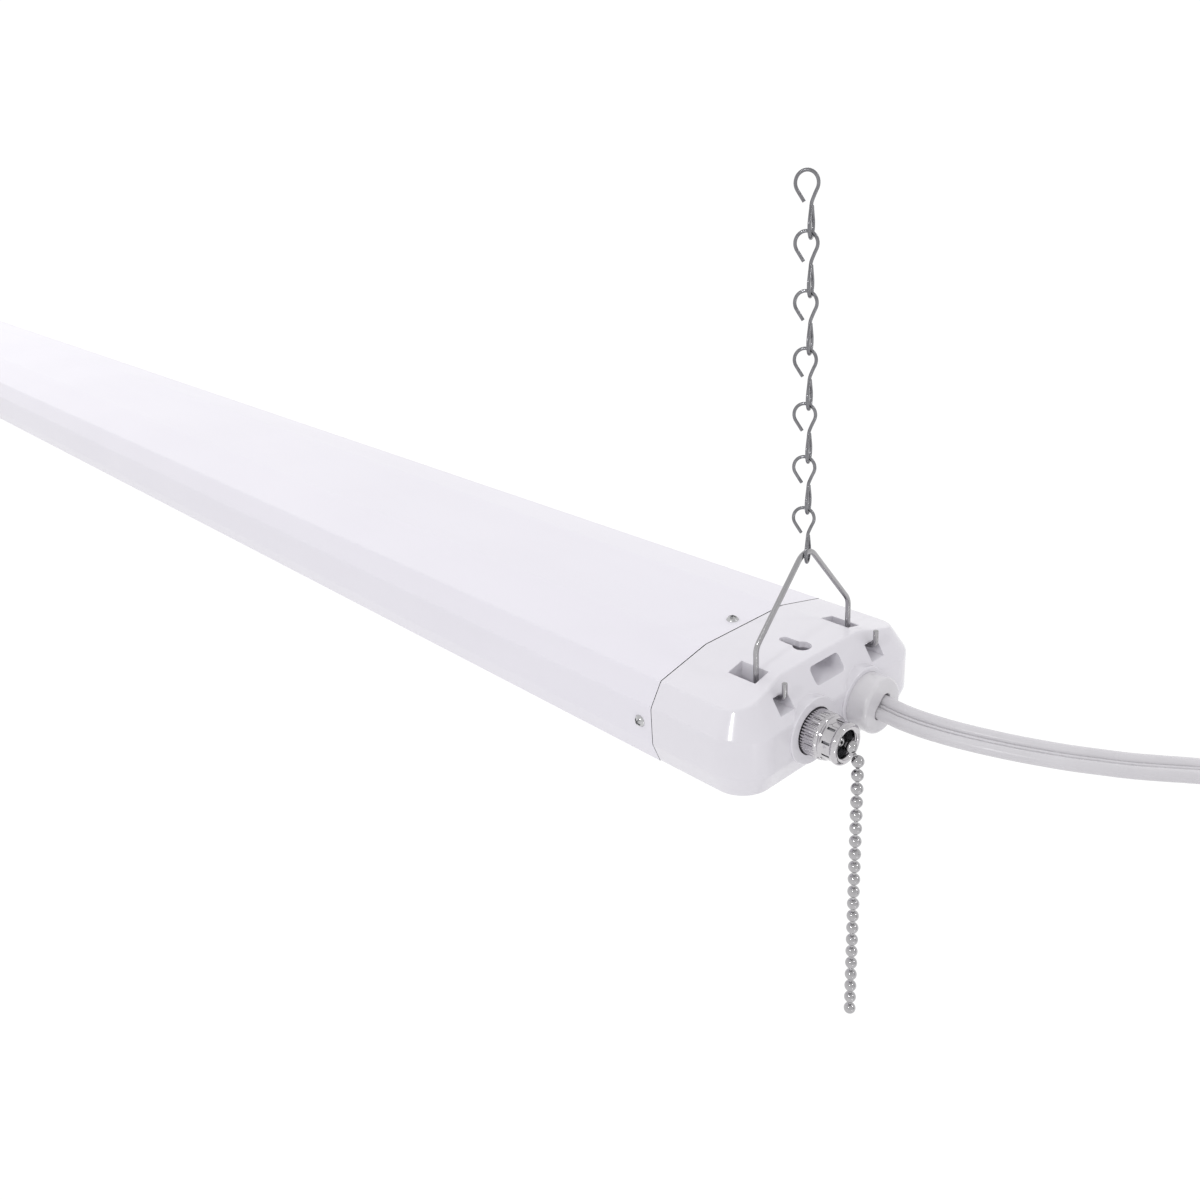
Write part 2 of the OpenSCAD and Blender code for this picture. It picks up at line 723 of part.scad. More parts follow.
module mouth_bead() color("silver") {
    bead(bead_x - mouth_dx, axis_z);
    bar([bead_x - mouth_dx - bead_d / 2 - 0.3, -switch_y, axis_z],
        [bead_x - mouth_dx, -switch_y, axis_z], bead_wire);
}

module neck_bead() color("silver") {
    up = unit([-mouth_dx, 0, neck_drop]);
    bead(bead_x, neck_z);
    bar([bead_x, -switch_y, neck_z],
        [bead_x, -switch_y, neck_z] + up * (bead_d / 2 + 0.6), bead_wire);
}

module pull_chain() color("silver") {
    for (i = [1 : bead_count]) bead(bead_x, neck_z - i * bead_pitch);
    bar([bead_x, -switch_y, neck_z - bead_count * bead_pitch],
        [bead_x, -switch_y, neck_z - bead_pitch + bead_d / 2 + 0.7], bead_wire);
}

// ---- cord gland ----------------------------------------------------------

module cord_gland() color("white")
    difference() {
        translate([0, gland_y, axis_z]) rotate([0, 90, 0]) {
            translate([0, 0, recess_x])
                cylinder(h = gland_x1 - recess_x - 1.6, r = gland_r, $fn = 96);
            translate([0, 0, gland_x1 - 1.6]) {
                cylinder(h = 1.6, r = gland_r - 1.6, $fn = 96);
                rotate_extrude($fn = 96) translate([gland_r - 1.6, 0]) circle(r = 1.6, $fn = fine);
            }
            translate([0, 0, boss_x0 - 4.6])
                cylinder(h = recess_x - boss_x0 + 5, r = gland_neck_r, $fn = 96);
        }
        translate([cord_x0, gland_y, axis_z]) rotate([cord_slope, 0, 0]) rotate([0, 90, 0]) {
            for (s = [-1, 1])
                translate([0, s * (cord_w - cord_t) / 2, 0])
                    cylinder(h = 20, d = cord_t + 1, $fn = fine);
            translate([-cord_t / 2 - 0.5, (cord_t - cord_w) / 2, 0])
                cube([cord_t + 1, cord_w - cord_t, 20]);
        }
        translate([boss_x0 - 6, gland_y, axis_z]) rotate([0, 90, 0])
            cylinder(h = cord_x0 - boss_x0 + 6 - 1, r = 3.4, $fn = fine);
    }

module gland_nut() color("white")
    translate([boss_x0 - 3.6, gland_y, axis_z]) rotate([0, 90, 0])
        difference() {
            cylinder(h = 3.6, r = gland_nut_r, $fn = fine);
            translate([0, 0, -over]) cylinder(h = 6, r = gland_neck_r + 0.05, $fn = fine);
            for (i = [0 : 7])
                rotate([0, 0, i * 45]) translate([gland_nut_r - 0.6, -0.8, -over])
                    cube([2, 1.6, 6]);
        }

// ---- power cord ----------------------------------------------------------

function flat_form() = [[1, 0], [0.86, 0.8], [0.5, 1], [0, 0.6], [-0.5, 1], [-0.86, 0.8],
    [-1, 0], [-0.86, -0.8], [-0.5, -1], [0, -0.6], [0.5, -1], [0.86, -0.8]];
function plain_form() = [[1, 0], [0.6, 1], [-0.6, 1], [-1, 0], [-0.6, -1], [0.6, -1]];
function ring_at(p, wide, thin, form) =
    [for (f = form) p + wide * f[0] * cord_w / 2 + thin * f[1] * cord_t / 2];

// a skin over rings of n points each
module skin(rings) {
    n = len(rings[0]);
    last = len(rings) - 1;
    walls = [for (i = [0 : last - 1], j = [0 : n - 1], k = [0, 1])
        let (a = i * n + j, b = i * n + (j + 1) % n)
            k == 0 ? [a, a + n, b + n] : [a, b + n, b]];
    ends = [for (j = [1 : n - 2], k = [0, 1])
        k == 0 ? [0, j, j + 1] : [last * n, last * n + j + 1, last * n + j]];
    polyhedron(points = [for (r = rings, p = r) p], faces = concat(walls, ends));
}

function route_way(i) = let (r = cord_route, last = len(cord_route) - 1)
    unit(r[min(i + 1, last)] - r[max(i - 1, 0)]);
function free_ring(i) =
    let (t = route_way(i), side = unit(cross(t, [0, 0, 1])), rise = cross(side, t),
        lean = -cord_slope - (90 - cord_slope) * min(1, i / (len(cord_route) - 3)),
        wide = rise * cos(lean) + side * sin(lean))
    ring_at(cord_route[i], wide, cross(t, wide), flat_form());

module cord_free() color("white")
    skin([for (i = [0 : len(cord_route) - 1]) free_ring(i)]);

// the coil: in for half of the way in the near layer, and out again in the far one
coil_mid = (coil_start + coil_end) / 2;
function coil_rho(a) = coil_r - turn_step / 360 * (coil_mid - coil_start - abs(a - coil_mid));
function coil_shift(a) = let (f = min(1, max(0, (a - coil_mid + 90) / 180)))
    layer_step * f * f * (3 - 2 * f);
function coil_point(a) = [coil_x + coil_rho(a) * sin(a), coil_y - coil_shift(a),
    coil_z + coil_rho(a) * cos(a)];
coil_rings = ceil((coil_end - coil_start) / 360 * rings_a_turn);
function coil_angle(i) = coil_start + (coil_end - coil_start) * i / coil_rings;

function coil_ring(i) = let (a = coil_angle(i))
    ring_at(coil_point(a), [0, 1, 0], [-sin(a), 0, -cos(a)], plain_form());

module cord_coil() color("white") {
    skin([for (i = [0 : coil_rings]) coil_ring(i)]);
    echo(coil_gap = min([for (i = [0 : coil_rings], turns = [1 : 4], k = [-1 : 1])
        let (j = i + turns * rings_a_turn + k)
            if (j <= coil_rings)
                min([for (p = coil_ring(i), q = coil_ring(j)) norm(p - q)])]));
}

// strap round the turns
module cord_tie() color("black") {
    deep = coil_r - coil_rho(coil_mid) + cord_t + 1;
    wide = cord_w + layer_step + 1;
    translate([coil_x, coil_y - layer_step / 2, coil_z]) rotate([0, tie_turn, 0])
        translate([0, 0, (coil_r + coil_rho(coil_mid)) / 2])
            rotate([0, 90, 0])
                difference() {
                    translate([-deep / 2 - 1, -wide / 2 - 1, -4]) cube([deep + 2, wide + 2, 8]);
                    translate([-deep / 2, -wide / 2, -5]) cube([deep, wide, 10]);
                }
}

tail_x = coil_x + coil_r;
tail_y = coil_y - layer_step;
module cord_tail() color("white")
    skin([for (i = [0 : 4])
        ring_at([tail_x, tail_y, coil_z - i * tail_len / 4], [0, 1, 0], [-1, 0, 0], flat_form())]);

// moulded plug: body with a tapered neck, two blades and a round earth pin
module plug_body() color("white")
    translate([tail_x, tail_y, coil_z - tail_len]) mirror([0, 0, 1]) {
        cylinder(h = 13, d1 = cord_w + 1.5, d2 = 14, $fn = 64);
        translate([0, 0, 13]) rounded_plate(plug_t, plug_w, 5, plug_len - 13);
    }

module plug_prongs() color("silver")
    translate([tail_x, tail_y, coil_z - tail_len - plug_len]) mirror([0, 0, 1]) {
        for (s = [-1, 1])
            translate([1.2, s * 6.35 - 0.75, 0]) cube([6.3, 1.5, 16]);
        translate([-5.6, 0, 0]) cylinder(h = 18, d = 4.8, $fn = fine);
        translate([-5.6, 0, 18]) sphere(d = 4.8, $fn = fine);
    }

// ---- leads ---------------------------------------------------------------

module lead(p, bend) { bent_wire(p, [for (q = p) bend], lead_d); }

lead_x = boss_x0 - 2;
switch_back = boss_x0 - switch_len;
module lead_live() color("black")
    lead([[lead_x, gland_y - 2.2, axis_z], [20, gland_y - 2.2, axis_z], [2, 6, 21],
        [2, -switch_y, 21], [switch_back, -switch_y, 21]], 3);
module lead_neutral() color("white")
    lead([[lead_x, gland_y + 1, axis_z - 2], [22, gland_y + 1, axis_z - 2], [-16, 8, 22],
        [driver_x1, 8, 22]], 8);
module lead_earth() color("green")
    lead([[lead_x, gland_y + 1.4, axis_z + 1.6], [20, 17, axis_z + 1.6],
        [ground_at[0] + 14, ground_at[1], driver_z + lead_d / 2],
        [ground_at[0] + 1.8, ground_at[1], driver_z + lead_d / 2]], 6);
module lead_switched() color("black")
    lead([[switch_back, -switch_y, 12], [4, -switch_y, 12], [-20, -8, 22],
        [driver_x1, -8, 22]], 6);
module board_lead(s) {
    lead([[driver_x0, s * 6, 22], [driver_x0 - 12, s * 6, 22], [lead_hole_x, s * board_y, 22],
        [lead_hole_x, s * board_y, tray_z]], 3.5);
}
module lead_board_plus() color("red") board_lead(1);
module lead_board_minus() color("blue") board_lead(-1);

// splice housing on the neutral lead
module wire_connector() color("orange")
    difference() {
        translate([driver_x1 + 14, 3.5, 17.5]) cube([14, 9, 9]);
        translate([driver_x1 + 13, 8, 22]) rotate([0, 90, 0])
            cylinder(h = 16, d = lead_d + 0.1, $fn = fine);
    }

// ---- hangers and chains --------------------------------------------------

module hanger() {
    x0 = hanger_x;
    x1 = hanger_x + hanger_hook;
    right = [[x1, socket_y, hanger_end], [x1, socket_y, hanger_low], [x0, socket_y, hanger_low],
        [x0, socket_y, hanger_bend], [hang_near, 0, hanger_top + 1.4]];
    left = [for (i = [3 : -1 : 0]) [right[i][0], -right[i][1], right[i][2]]];
    bent_wire(concat(right, left), [0, hanger_bend_r, hanger_bend_r, 7, 3, 7, hanger_bend_r,
        hanger_bend_r, 0], hanger_d);
}
module near_hanger() color("silver") hanger();
module far_hanger() color("silver") at_far_end() hanger();

// one end of a link: an open eye of the radius r, its free end and half of the shank, which
// is tangent to the circle and meets the link's axis at the distance drop
module link_eye(turn, up, z, r, aside, drop, free) {
    far = norm([aside, drop]);
    meet = atan2(-drop, aside) + acos(r / far);
    leave = 218;
    thin = link_wire - 2 * bend_ease;
    multmatrix([[cos(turn), 0, up * sin(turn), -aside * cos(turn)],
                [sin(turn), 0, -up * cos(turn), -aside * sin(turn)],
                [0, up, 0, z], [0, 0, 0, 1]]) {
        rotate([0, 0, meet]) rotate_extrude(angle = leave - meet, $fn = 48)
            translate([r, 0]) circle(d = link_wire, $fn = 16);
        rotate([0, 0, leave]) translate([r, -bend_lap, 0]) rotate([-90, 0, 0])
            cylinder(h = free + bend_lap, d = thin, $fn = 16);
        rotate([0, 0, meet]) translate([r, bend_lap, 0]) rotate([90, 0, 0])
            cylinder(h = sqrt(far * far - r * r) + bend_lap, d = thin, $fn = 16);
    }
}

module link_shape() {
    bend_z = hook_z - shank_drop;
    link_eye(hook_turn, 1, hook_z, link_r, hook_aside, shank_drop, 3.4);
    link_eye(hook_turn + 90, -1, eye_r, eye_r, 0, bend_z - eye_r, 0.6);
    translate([0, 0, bend_z]) sphere(d = link_wire, $fn = 16);
}

module chain_links(x, first, last) {
    for (k = [first : last])
        translate([x, 0, loop_low + k * link_pitch]) link_shape();
}
module near_top_link() color("gray") chain_links(hang_near, link_count - 1, link_count - 1);
module far_top_link() color("gray") chain_links(hang_far, link_count - 1, link_count - 1);
module near_chain() color("gray") chain_links(hang_near, 0, link_count - 2);
module far_chain() color("gray") chain_links(hang_far, 0, link_count - 2);

// ---- the light -----------------------------------------------------------
hung() near_top_link();
hung() far_top_link();
hung() near_chain();
hung() far_chain();
hung() near_hanger();
hung() far_hanger();
hung() housing();
hung() switch_cap();
hung() plain_cap();
hung() switch_cap_screws();
hung() plain_cap_screws();
hung() lens();
hung() gear_tray();
hung() board_front();
hung() board_back();
hung() leds_front();
hung() leds_back();
hung() board_screws();
hung() driver_case();
hung() driver_board();
hung() driver_cover();
hung() driver_screws();
hung() ground_screw();
hung() switch_body();
hung() switch_bushing();
hung() switch_nut();
hung() switch_bell();
hung() switch_plunger();
hung() mouth_bead();
hung() neck_bead();
hung() pull_chain();
hung() cord_gland();
hung() gland_nut();
hung() cord_free();
hung() cord_coil();
hung() cord_tie();
hung() cord_tail();
hung() plug_body();
hung() plug_prongs();
hung() lead_live();
hung() lead_neutral();
hung() lead_earth();
hung() lead_switched();
hung() lead_board_plus();
hung() lead_board_minus();
hung() wire_connector();
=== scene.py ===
import json
import math

import bpy
from mathutils import Matrix, Vector

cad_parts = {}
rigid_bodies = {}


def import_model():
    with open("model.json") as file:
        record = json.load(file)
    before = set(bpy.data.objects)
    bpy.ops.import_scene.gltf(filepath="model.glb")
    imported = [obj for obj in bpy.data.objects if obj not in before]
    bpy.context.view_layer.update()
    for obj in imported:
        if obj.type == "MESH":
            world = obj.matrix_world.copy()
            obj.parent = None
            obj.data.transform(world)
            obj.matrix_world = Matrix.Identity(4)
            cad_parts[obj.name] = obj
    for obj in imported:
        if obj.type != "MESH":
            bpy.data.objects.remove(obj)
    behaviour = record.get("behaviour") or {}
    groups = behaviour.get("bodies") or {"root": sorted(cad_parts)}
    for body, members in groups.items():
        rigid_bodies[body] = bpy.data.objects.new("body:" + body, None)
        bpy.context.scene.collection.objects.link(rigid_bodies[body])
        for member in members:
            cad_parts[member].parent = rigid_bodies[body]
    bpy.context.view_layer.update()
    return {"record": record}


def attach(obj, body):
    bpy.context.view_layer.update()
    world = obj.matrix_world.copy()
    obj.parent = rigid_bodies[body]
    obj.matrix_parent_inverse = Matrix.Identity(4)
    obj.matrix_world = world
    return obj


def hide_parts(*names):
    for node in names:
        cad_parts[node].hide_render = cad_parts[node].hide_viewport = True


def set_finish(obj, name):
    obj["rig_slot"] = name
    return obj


for startup in list(bpy.data.objects):
    bpy.data.objects.remove(startup)
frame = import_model()

# the light's own space in mm: x = 0 at the seam of the switch cap, z = 0 at the bottom edge
seamX, bottomZ = 0.565, -0.2004955


def place(x, y, z):
    # a point of the light's own space, in the row frame
    return Vector((x / 1000 + seamX, y / 1000, z / 1000 + bottomZ))


def turned(angle, axis):
    return Matrix.Rotation(math.radians(angle), 4, axis)


def newObject(name, data):
    obj = bpy.data.objects.new(name, data)
    bpy.context.collection.objects.link(obj)
    return obj


# where the photograph was taken from, and the way the lens points
cameraSettings = {
    "position": (0.82876, -0.29752, 0.03503),
    "right": (0.67290026, 0.73690584, -0.06461446),
    "up": (-0.27271641, 0.32832459, 0.90433883),
    "back": (0.68762708, -0.59090841, 0.42189602),
    "lens": 35.021,
}


def makeCamera(s):
    data = bpy.data.cameras.new("camera")
    data.lens = s["lens"]
    data.sensor_width = 36
    data.clip_start, data.clip_end = 0.01, 100
    camera = newObject("camera", data)
    turn = Matrix([s["right"], s["up"], s["back"]]).transposed().to_4x4()
    camera.matrix_world = Matrix.Translation(s["position"]) @ turn
    bpy.context.scene.camera = camera


makeCamera(cameraSettings)
print("camera placed")


# small modelling helpers
def deselectAll():
    if bpy.context.object and bpy.context.object.mode != "OBJECT":
        bpy.ops.object.mode_set(mode="OBJECT")
    bpy.ops.object.select_all(action="DESELECT")


def pick(obj):
    deselectAll()
    obj.select_set(True)
    bpy.context.view_layer.objects.active = obj
    return obj


def settle(obj):
    # the object ends at the origin, unturned, with its place in its mesh
    pick(obj)
    bpy.ops.object.transform_apply(location=True, rotation=True, scale=True)
    return obj


def meshPiece(name, points, faces, edges=()):
    mesh = bpy.data.meshes.new(name)
    mesh.from_pydata([tuple(p) for p in points], list(edges), faces)
    mesh.update()
    return pick(newObject(name, mesh))


def applyAll(obj):
    pick(obj)
    for modifier in list(obj.modifiers):
        bpy.ops.object.modifier_apply(modifier=modifier.name)
    return obj


def bevelled(obj, width, segments, angle):
    bevel = obj.modifiers.new("bevel", "BEVEL")
    bevel.width, bevel.segments = width / 1000, segments
    bevel.limit_method, bevel.angle_limit = "ANGLE", math.radians(angle)
    return applyAll(obj)


def addWall(obj, thickness):
    wall = obj.modifiers.new("wall", "SOLIDIFY")
    wall.thickness, wall.offset = thickness / 1000, -1


def smoothByAngle(obj, angle=35):
    pick(obj)
    bpy.ops.object.shade_smooth_by_angle(angle=math.radians(angle))
    return obj


def selectParts(obj, kind, test):
    # edit mode's select mode is set first, so that what is selected in code stays selected
    pick(obj)
    kinds = ("vertices", "edges", "polygons")
    bpy.context.tool_settings.mesh_select_mode = [kind == other for other in kinds]
    for other in kinds:
        for part in getattr(obj.data, other):
            part.select = other == kind and bool(test(part))
    bpy.ops.object.mode_set(mode="EDIT")


def selectAllIn(obj):
    pick(obj)
    bpy.ops.object.mode_set(mode="EDIT")
    bpy.ops.mesh.select_all(action="SELECT")


def leaveEdit():
    bpy.ops.object.mode_set(mode="OBJECT")


def mergeClose(obj, distance):
    # points closer than the distance in mm become one
    selectAllIn(obj)
    bpy.ops.mesh.remove_doubles(threshold=distance / 1000)
    leaveEdit()
    return obj


def faceOutward(obj):
    selectAllIn(obj)
    bpy.ops.mesh.normals_make_consistent(inside=False)
    leaveEdit()
    return obj


def insetFaces(obj, test, thickness, depth):
    selectParts(obj, "polygons", test)
    bpy.ops.mesh.inset(thickness=thickness / 1000, depth=depth / 1000)
    leaveEdit()


def openCopy(name, node):
    # a solid's own mesh as a new object, in edit mode with its points merged
    obj = pick(newObject(name, bpy.data.objects[node].data.copy()))
    bpy.ops.mesh.customdata_custom_splitnormals_clear()
    selectAllIn(obj)
    bpy.ops.mesh.remove_doubles(threshold=0.000001)
    return obj


def spunPiece(name, profile, count, centre, axis=(1, 0, 0), first=(0, 0, -1), closed=False):
    # profile holds (along the axis, radius) in mm, spun round the axis from the direction first
    axis, first = Vector(axis), Vector(first)
    points = [centre + (axis * a + first * r) / 1000 for a, r in profile]
    edges = [(i, i + 1) for i in range(len(points) - 1)]
    if closed:
        edges.append((len(points) - 1, 0))
    obj = meshPiece(name, points, [], edges)
    selectAllIn(obj)
    bpy.ops.mesh.spin(steps=count, angle=2 * math.pi, center=centre, axis=axis)
    leaveEdit()
    return faceOutward(mergeClose(obj, 0.004))


def joinPieces(first, *others):
    deselectAll()
    for obj in (first, *others):
        obj.select_set(True)
    bpy.context.view_layer.objects.active = first
    bpy.ops.object.join()
    return first


def finishPiece(obj, body, slotName, *nodes):
    settle(obj)
    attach(obj, body)
    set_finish(obj, slotName)
    if nodes:
        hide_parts(*nodes)
    return obj


def sharpEdges(obj, angle, test=None):
    # edges between faces that turn by more than the angle, where both faces pass the test
    sides = {}
    for polygon in obj.data.polygons:
        for key in polygon.edge_keys:
            sides.setdefault(key, []).append(polygon)
    limit = math.cos(math.radians(angle))
    return {key for key, pair in sides.items()
            if len(pair) == 2 and pair[0].normal.dot(pair[1].normal) < limit
            and (test is None or test(*pair))}


def edgesAlong(obj, axis):
    # the edges that run along the axis, 0 for X to 2 for Z
    spot = [v.co[axis] for v in obj.data.vertices]
    return {e.key for e in obj.data.edges if abs(spot[e.key[0]] - spot[e.key[1]]) > 0.001}


def roundEdges(obj, keys, radius, segments):
    selectParts(obj, "edges", lambda e: e.key in keys)
    bpy.ops.mesh.bevel(offset=radius / 1000, segments=segments, affect="EDGES", clamp_overlap=False)
    leaveEdit()
    return obj


def flatShading(obj, angle=28):
    # smooth over the rounded edges, with the flat faces kept flat
    smoothByAngle(obj, angle)
    weighted = obj.modifiers.new("flats", "WEIGHTED_NORMAL")
    weighted.keep_sharp = True
    return applyAll(obj)


def boxPiece(name, low, high):
    deselectAll()
    low, high = place(*low), place(*high)
    bpy.ops.mesh.primitive_cube_add(size=1, location=(low + high) / 2)
    box = bpy.context.object
    box.name, box.dimensions = name, high - low
    return settle(box)


def rodPiece(name, centre, radius, length, axis="X", vertices=96):
    # a round bar that starts at its centre point and runs along the axis
    deselectAll()
    along = Vector((axis == "X", axis == "Y", axis == "Z"))
    turn = {"X": (0, math.pi / 2, 0), "Y": (-math.pi / 2, 0, 0), "Z": (0, 0, 0)}[axis]
    bpy.ops.mesh.primitive_cylinder_add(vertices=vertices, radius=radius / 1000, depth=length / 1000,
                                        location=place(*(Vector(centre) + along * length / 2)),
                                        rotation=turn)
    rod = bpy.context.object
    rod.name = name
    return settle(rod)


def combine(obj, operation, *cutters):
    # boolean with each cutter in turn, and the cutters go
    for cutter in cutters:
        boolean = obj.modifiers.new("boolean", "BOOLEAN")
        boolean.operation, boolean.object, boolean.solver = operation, cutter, "EXACT"
        applyAll(obj)
        bpy.data.objects.remove(cutter)
        mergeClose(obj, 0.004)
    return obj


def bisected(obj, spot, normal):
    selectAllIn(obj)
    bpy.ops.mesh.bisect(plane_co=place(*spot), plane_no=normal, use_fill=True, clear_outer=True)
    leaveEdit()
    return faceOutward(obj)


# the flat power cord, from the gland to the plug
cordSettings = {
    "wide": 9.5, "thick": 4.6, "lean": 45, "routeStep": 3, "coilStep": 3, "tailSteps": 12,
    # the lobe's arc in degrees, how near the middle it may come, and the ridge as
    # (across in mm, share of the lobe's height)
    "lobeArc": 154.8, "lobeFrom": 0.75, "ridge": [(0.62, 0.42), (0.5, 0.6), (0.22, 0.68)],
    "route": [(41, 13.9, 16.4), (47, 13.9, 16.3), (54, 13.8, 16.1), (61, 13.4, 15.8),
              (69, 14, 15.5), (77, 15.2, 15.4), (85, 17, 15.3), (93, 19.2, 15.3),
              (101, 21.9, 15.2), (109, 24.9, 15.2), (117, 28.4, 15.1), (125, 32.4, 15.1),
              (133, 36.8, 15), (141, 41.9, 15), (148.5, 47.2, 14.9), (156, 52.2, 14.7),
              (163.8, 56.8, 14.3), (172, 60.7, 13.6), (181, 63.9, 12.4), (190, 66, 10.7),
              (199.5, 67.3, 8.5), (209, 67.8, 5.7), (218.5, 68, 2.3), (228, 68, -1.8),
              (236.5, 68, -6.3), (244, 68, -10.6)],
    "coilCentre": (225, 68, -64), "coilRadius": 56, "coilStart": 30, "coilEnd": 1530,
    "turnStep": 5.5, "layerStep": 10.4, "tailLength": 34, "tieTurn": -14,
}


def coilPoint(s, angle):
    middle = (s["coilStart"] + s["coilEnd"]) / 2
    radius = s["coilRadius"] - s["turnStep"] / 360 * (middle - s["coilStart"] - abs(angle - middle))
    part = min(1, max(0, (angle - middle + 90) / 180))
    shift = s["layerStep"] * part * part * (3 - 2 * part)
    cx, cy, cz = s["coilCentre"]
    turn = math.radians(angle)
    return Vector((cx + radius * math.sin(turn), cy - shift, cz + radius * math.cos(turn)))


def smoothRun(points, step):
    # a curve through the points, in steps of about the given length
    ends = [points[0] * 2 - points[1]] + points + [points[-1] * 2 - points[-2]]
    run = []
    for a, b, c, d in zip(ends, ends[1:], ends[2:], ends[3:]):
        count = max(1, round((c - b).length / step))
        for i in range(count):
            t = i / count
            run.append(0.5 * (2 * b + (c - a) * t + (2 * a - 5 * b + 4 * c - d) * t * t
                              + (3 * b - a - 3 * c + d) * t * t * t))
    run.append(points[-1])
    return run


def cordSection(s):
    # two round lobes with a thin ridge between them, as (across, up) points
    lobe = s["thick"] / 2
    centre = s["wide"] / 2 - lobe
    turns = [math.radians(s["lobeArc"] * i / 8) for i in range(9)]
    top = [(centre + lobe * math.cos(a), lobe * math.sin(a)) for a in turns]
    top = [p for p in top if p[0] > s["lobeFrom"]] + [(x, lobe * z) for x, z in s["ridge"]]
    upper = top + [(-x, z) for x, z in reversed(top)]
    lower = [(x, -z) for x, z in reversed(upper[1:-1])]
    return upper + lower


def cordLean(s, route, free):
    # the angle of the cord's width along its free run, from its lean at the gland to upright
    leanEnd = len(route) - 3
    lean = []
    for p in free:
        nearest = min(range(len(route)), key=lambda k: (route[k] - p).length)
        a, b = route[max(nearest - 1, 0)], route[min(nearest + 1, len(route) - 1)]
        past = (p - route[nearest]).dot(b - a) / (b - a).length_squared * 2
        along = max(0, nearest + max(-0.5, min(0.5, past)))
        lean.append(-s["lean"] - (90 - s["lean"]) * min(1, along / leanEnd))
    return lean


def makeCord(s):
    route = [Vector(p) for p in s["route"]] + [coilPoint(s, s["coilStart"])]
    free = smoothRun(route, s["routeStep"])
    coil = [coilPoint(s, a) for a in range(s["coilStart"], s["coilEnd"] + 1, s["coilStep"])][1:]
    drop = s["tailLength"] / s["tailSteps"]
    tail = [coil[-1] - Vector((0, 0, drop * k)) for k in range(1, s["tailSteps"] + 1)]
    line = free + coil + tail
    section, lean = cordSection(s), cordLean(s, route, free)
    points, last = [], len(line) - 1
    for i, p in enumerate(line):
        way = (line[min(i + 1, last)] - line[max(i - 1, 0)]).normalized()
        if i < len(free):
            side = way.cross(Vector((0, 0, 1))).normalized()
            rise = side.cross(way)
            turn = math.radians(lean[i])
            wide = rise * math.cos(turn) + side * math.sin(turn)
        else:
            wide = Vector((0, 1, 0))
        thin = way.cross(wide).normalized()
        points += [place(*(p + wide * a + thin * b)) for a, b in section]
    n = len(section)
    faces = [(i * n + j, i * n + (j + 1) % n, (i + 1) * n + (j + 1) % n, (i + 1) * n + j)
             for i in range(last) for j in range(n)]
    faces += [tuple(reversed(range(n))), tuple(range(last * n, last * n + n))]
    cord = faceOutward(meshPiece("power_cord", points, faces))
    return smoothByAngle(cord, 50), [place(*p) for p in line]


powerCord, cordPath = makeCord(cordSettings)
finishPiece(powerCord, "light", "cord_vinyl", "cord_free", "cord_coil", "cord_tail")
cordLength = sum((b - a).length for a, b in zip(cordPath, cordPath[1:]))
print("cord made,", round(cordLength, 3), "m")


# the tie round the coil
tieSettings = {"deep": 19.06, "across": 22.9, "wall": 1.0, "width": 8, "corner": 3.2}


def makeTie(s, c):
    cx, cy, cz = c["coilCentre"]
    middle = coilPoint(c, (c["coilStart"] + c["coilEnd"]) / 2)
    innerRadius = (middle - Vector((cx, middle.y, cz))).length
    deselectAll()
    bpy.ops.mesh.primitive_cube_add(size=1)
    tie = bpy.context.object
    tie.name = "coil_tie"
    tie.dimensions = (s["width"] / 1000, s["across"] / 1000, s["deep"] / 1000)
    bpy.ops.object.transform_apply(location=False, rotation=False, scale=True)
    selectParts(tie, "polygons", lambda f: abs(f.normal.x) > 0.9)
    bpy.ops.mesh.delete(type="ONLY_FACE")
    leaveEdit()
    spot = [v.co.x for v in tie.data.vertices]
    roundEdges(tie, {e.key for e in tie.data.edges if spot[e.key[0]] * spot[e.key[1]] < 0},
               s["corner"], 6)
    addWall(tie, s["wall"])
    smoothByAngle(bevelled(tie, 0.25, 2, 60), 40)
    turn = math.radians(c["tieTurn"])
    radius = (c["coilRadius"] + innerRadius) / 2
    at = place(cx + radius * math.sin(turn), cy - c["layerStep"] / 2, cz + radius * math.cos(turn))
    tie.matrix_world = Matrix.Translation(at) @ turned(c["tieTurn"], "Y")
    return tie


coilTie = makeTie(tieSettings, cordSettings)
finishPiece(coilTie, "light", "tie_black", "cord_tie")
print("tie made")


# the grounded plug at the end of the cord
plugSettings = {
    "neck": [(0, 0), (0, 5.0), (0.4, 5.5), (2.2, 5.9), (2.2, 5.2), (3.6, 5.2), (3.6, 6.3), (5.8, 6.6),
             (5.8, 5.7), (7.2, 5.7), (7.2, 6.9), (9.4, 7), (9.4, 6.2), (10.8, 6.2), (10.8, 7.1),
             (14, 7.4), (14, 0)],
    "halfX": 9.9, "halfY": 12.4, "top": 15.6, "end": 38, "corner": 4.5, "shoulder": (2.8, 3.2),
    "edge": 1.1, "panelInset": 2.6, "panelDepth": 0.5, "ribs": (20.5, 23.9, 27.3, 30.7), "rib": 1.2,
}


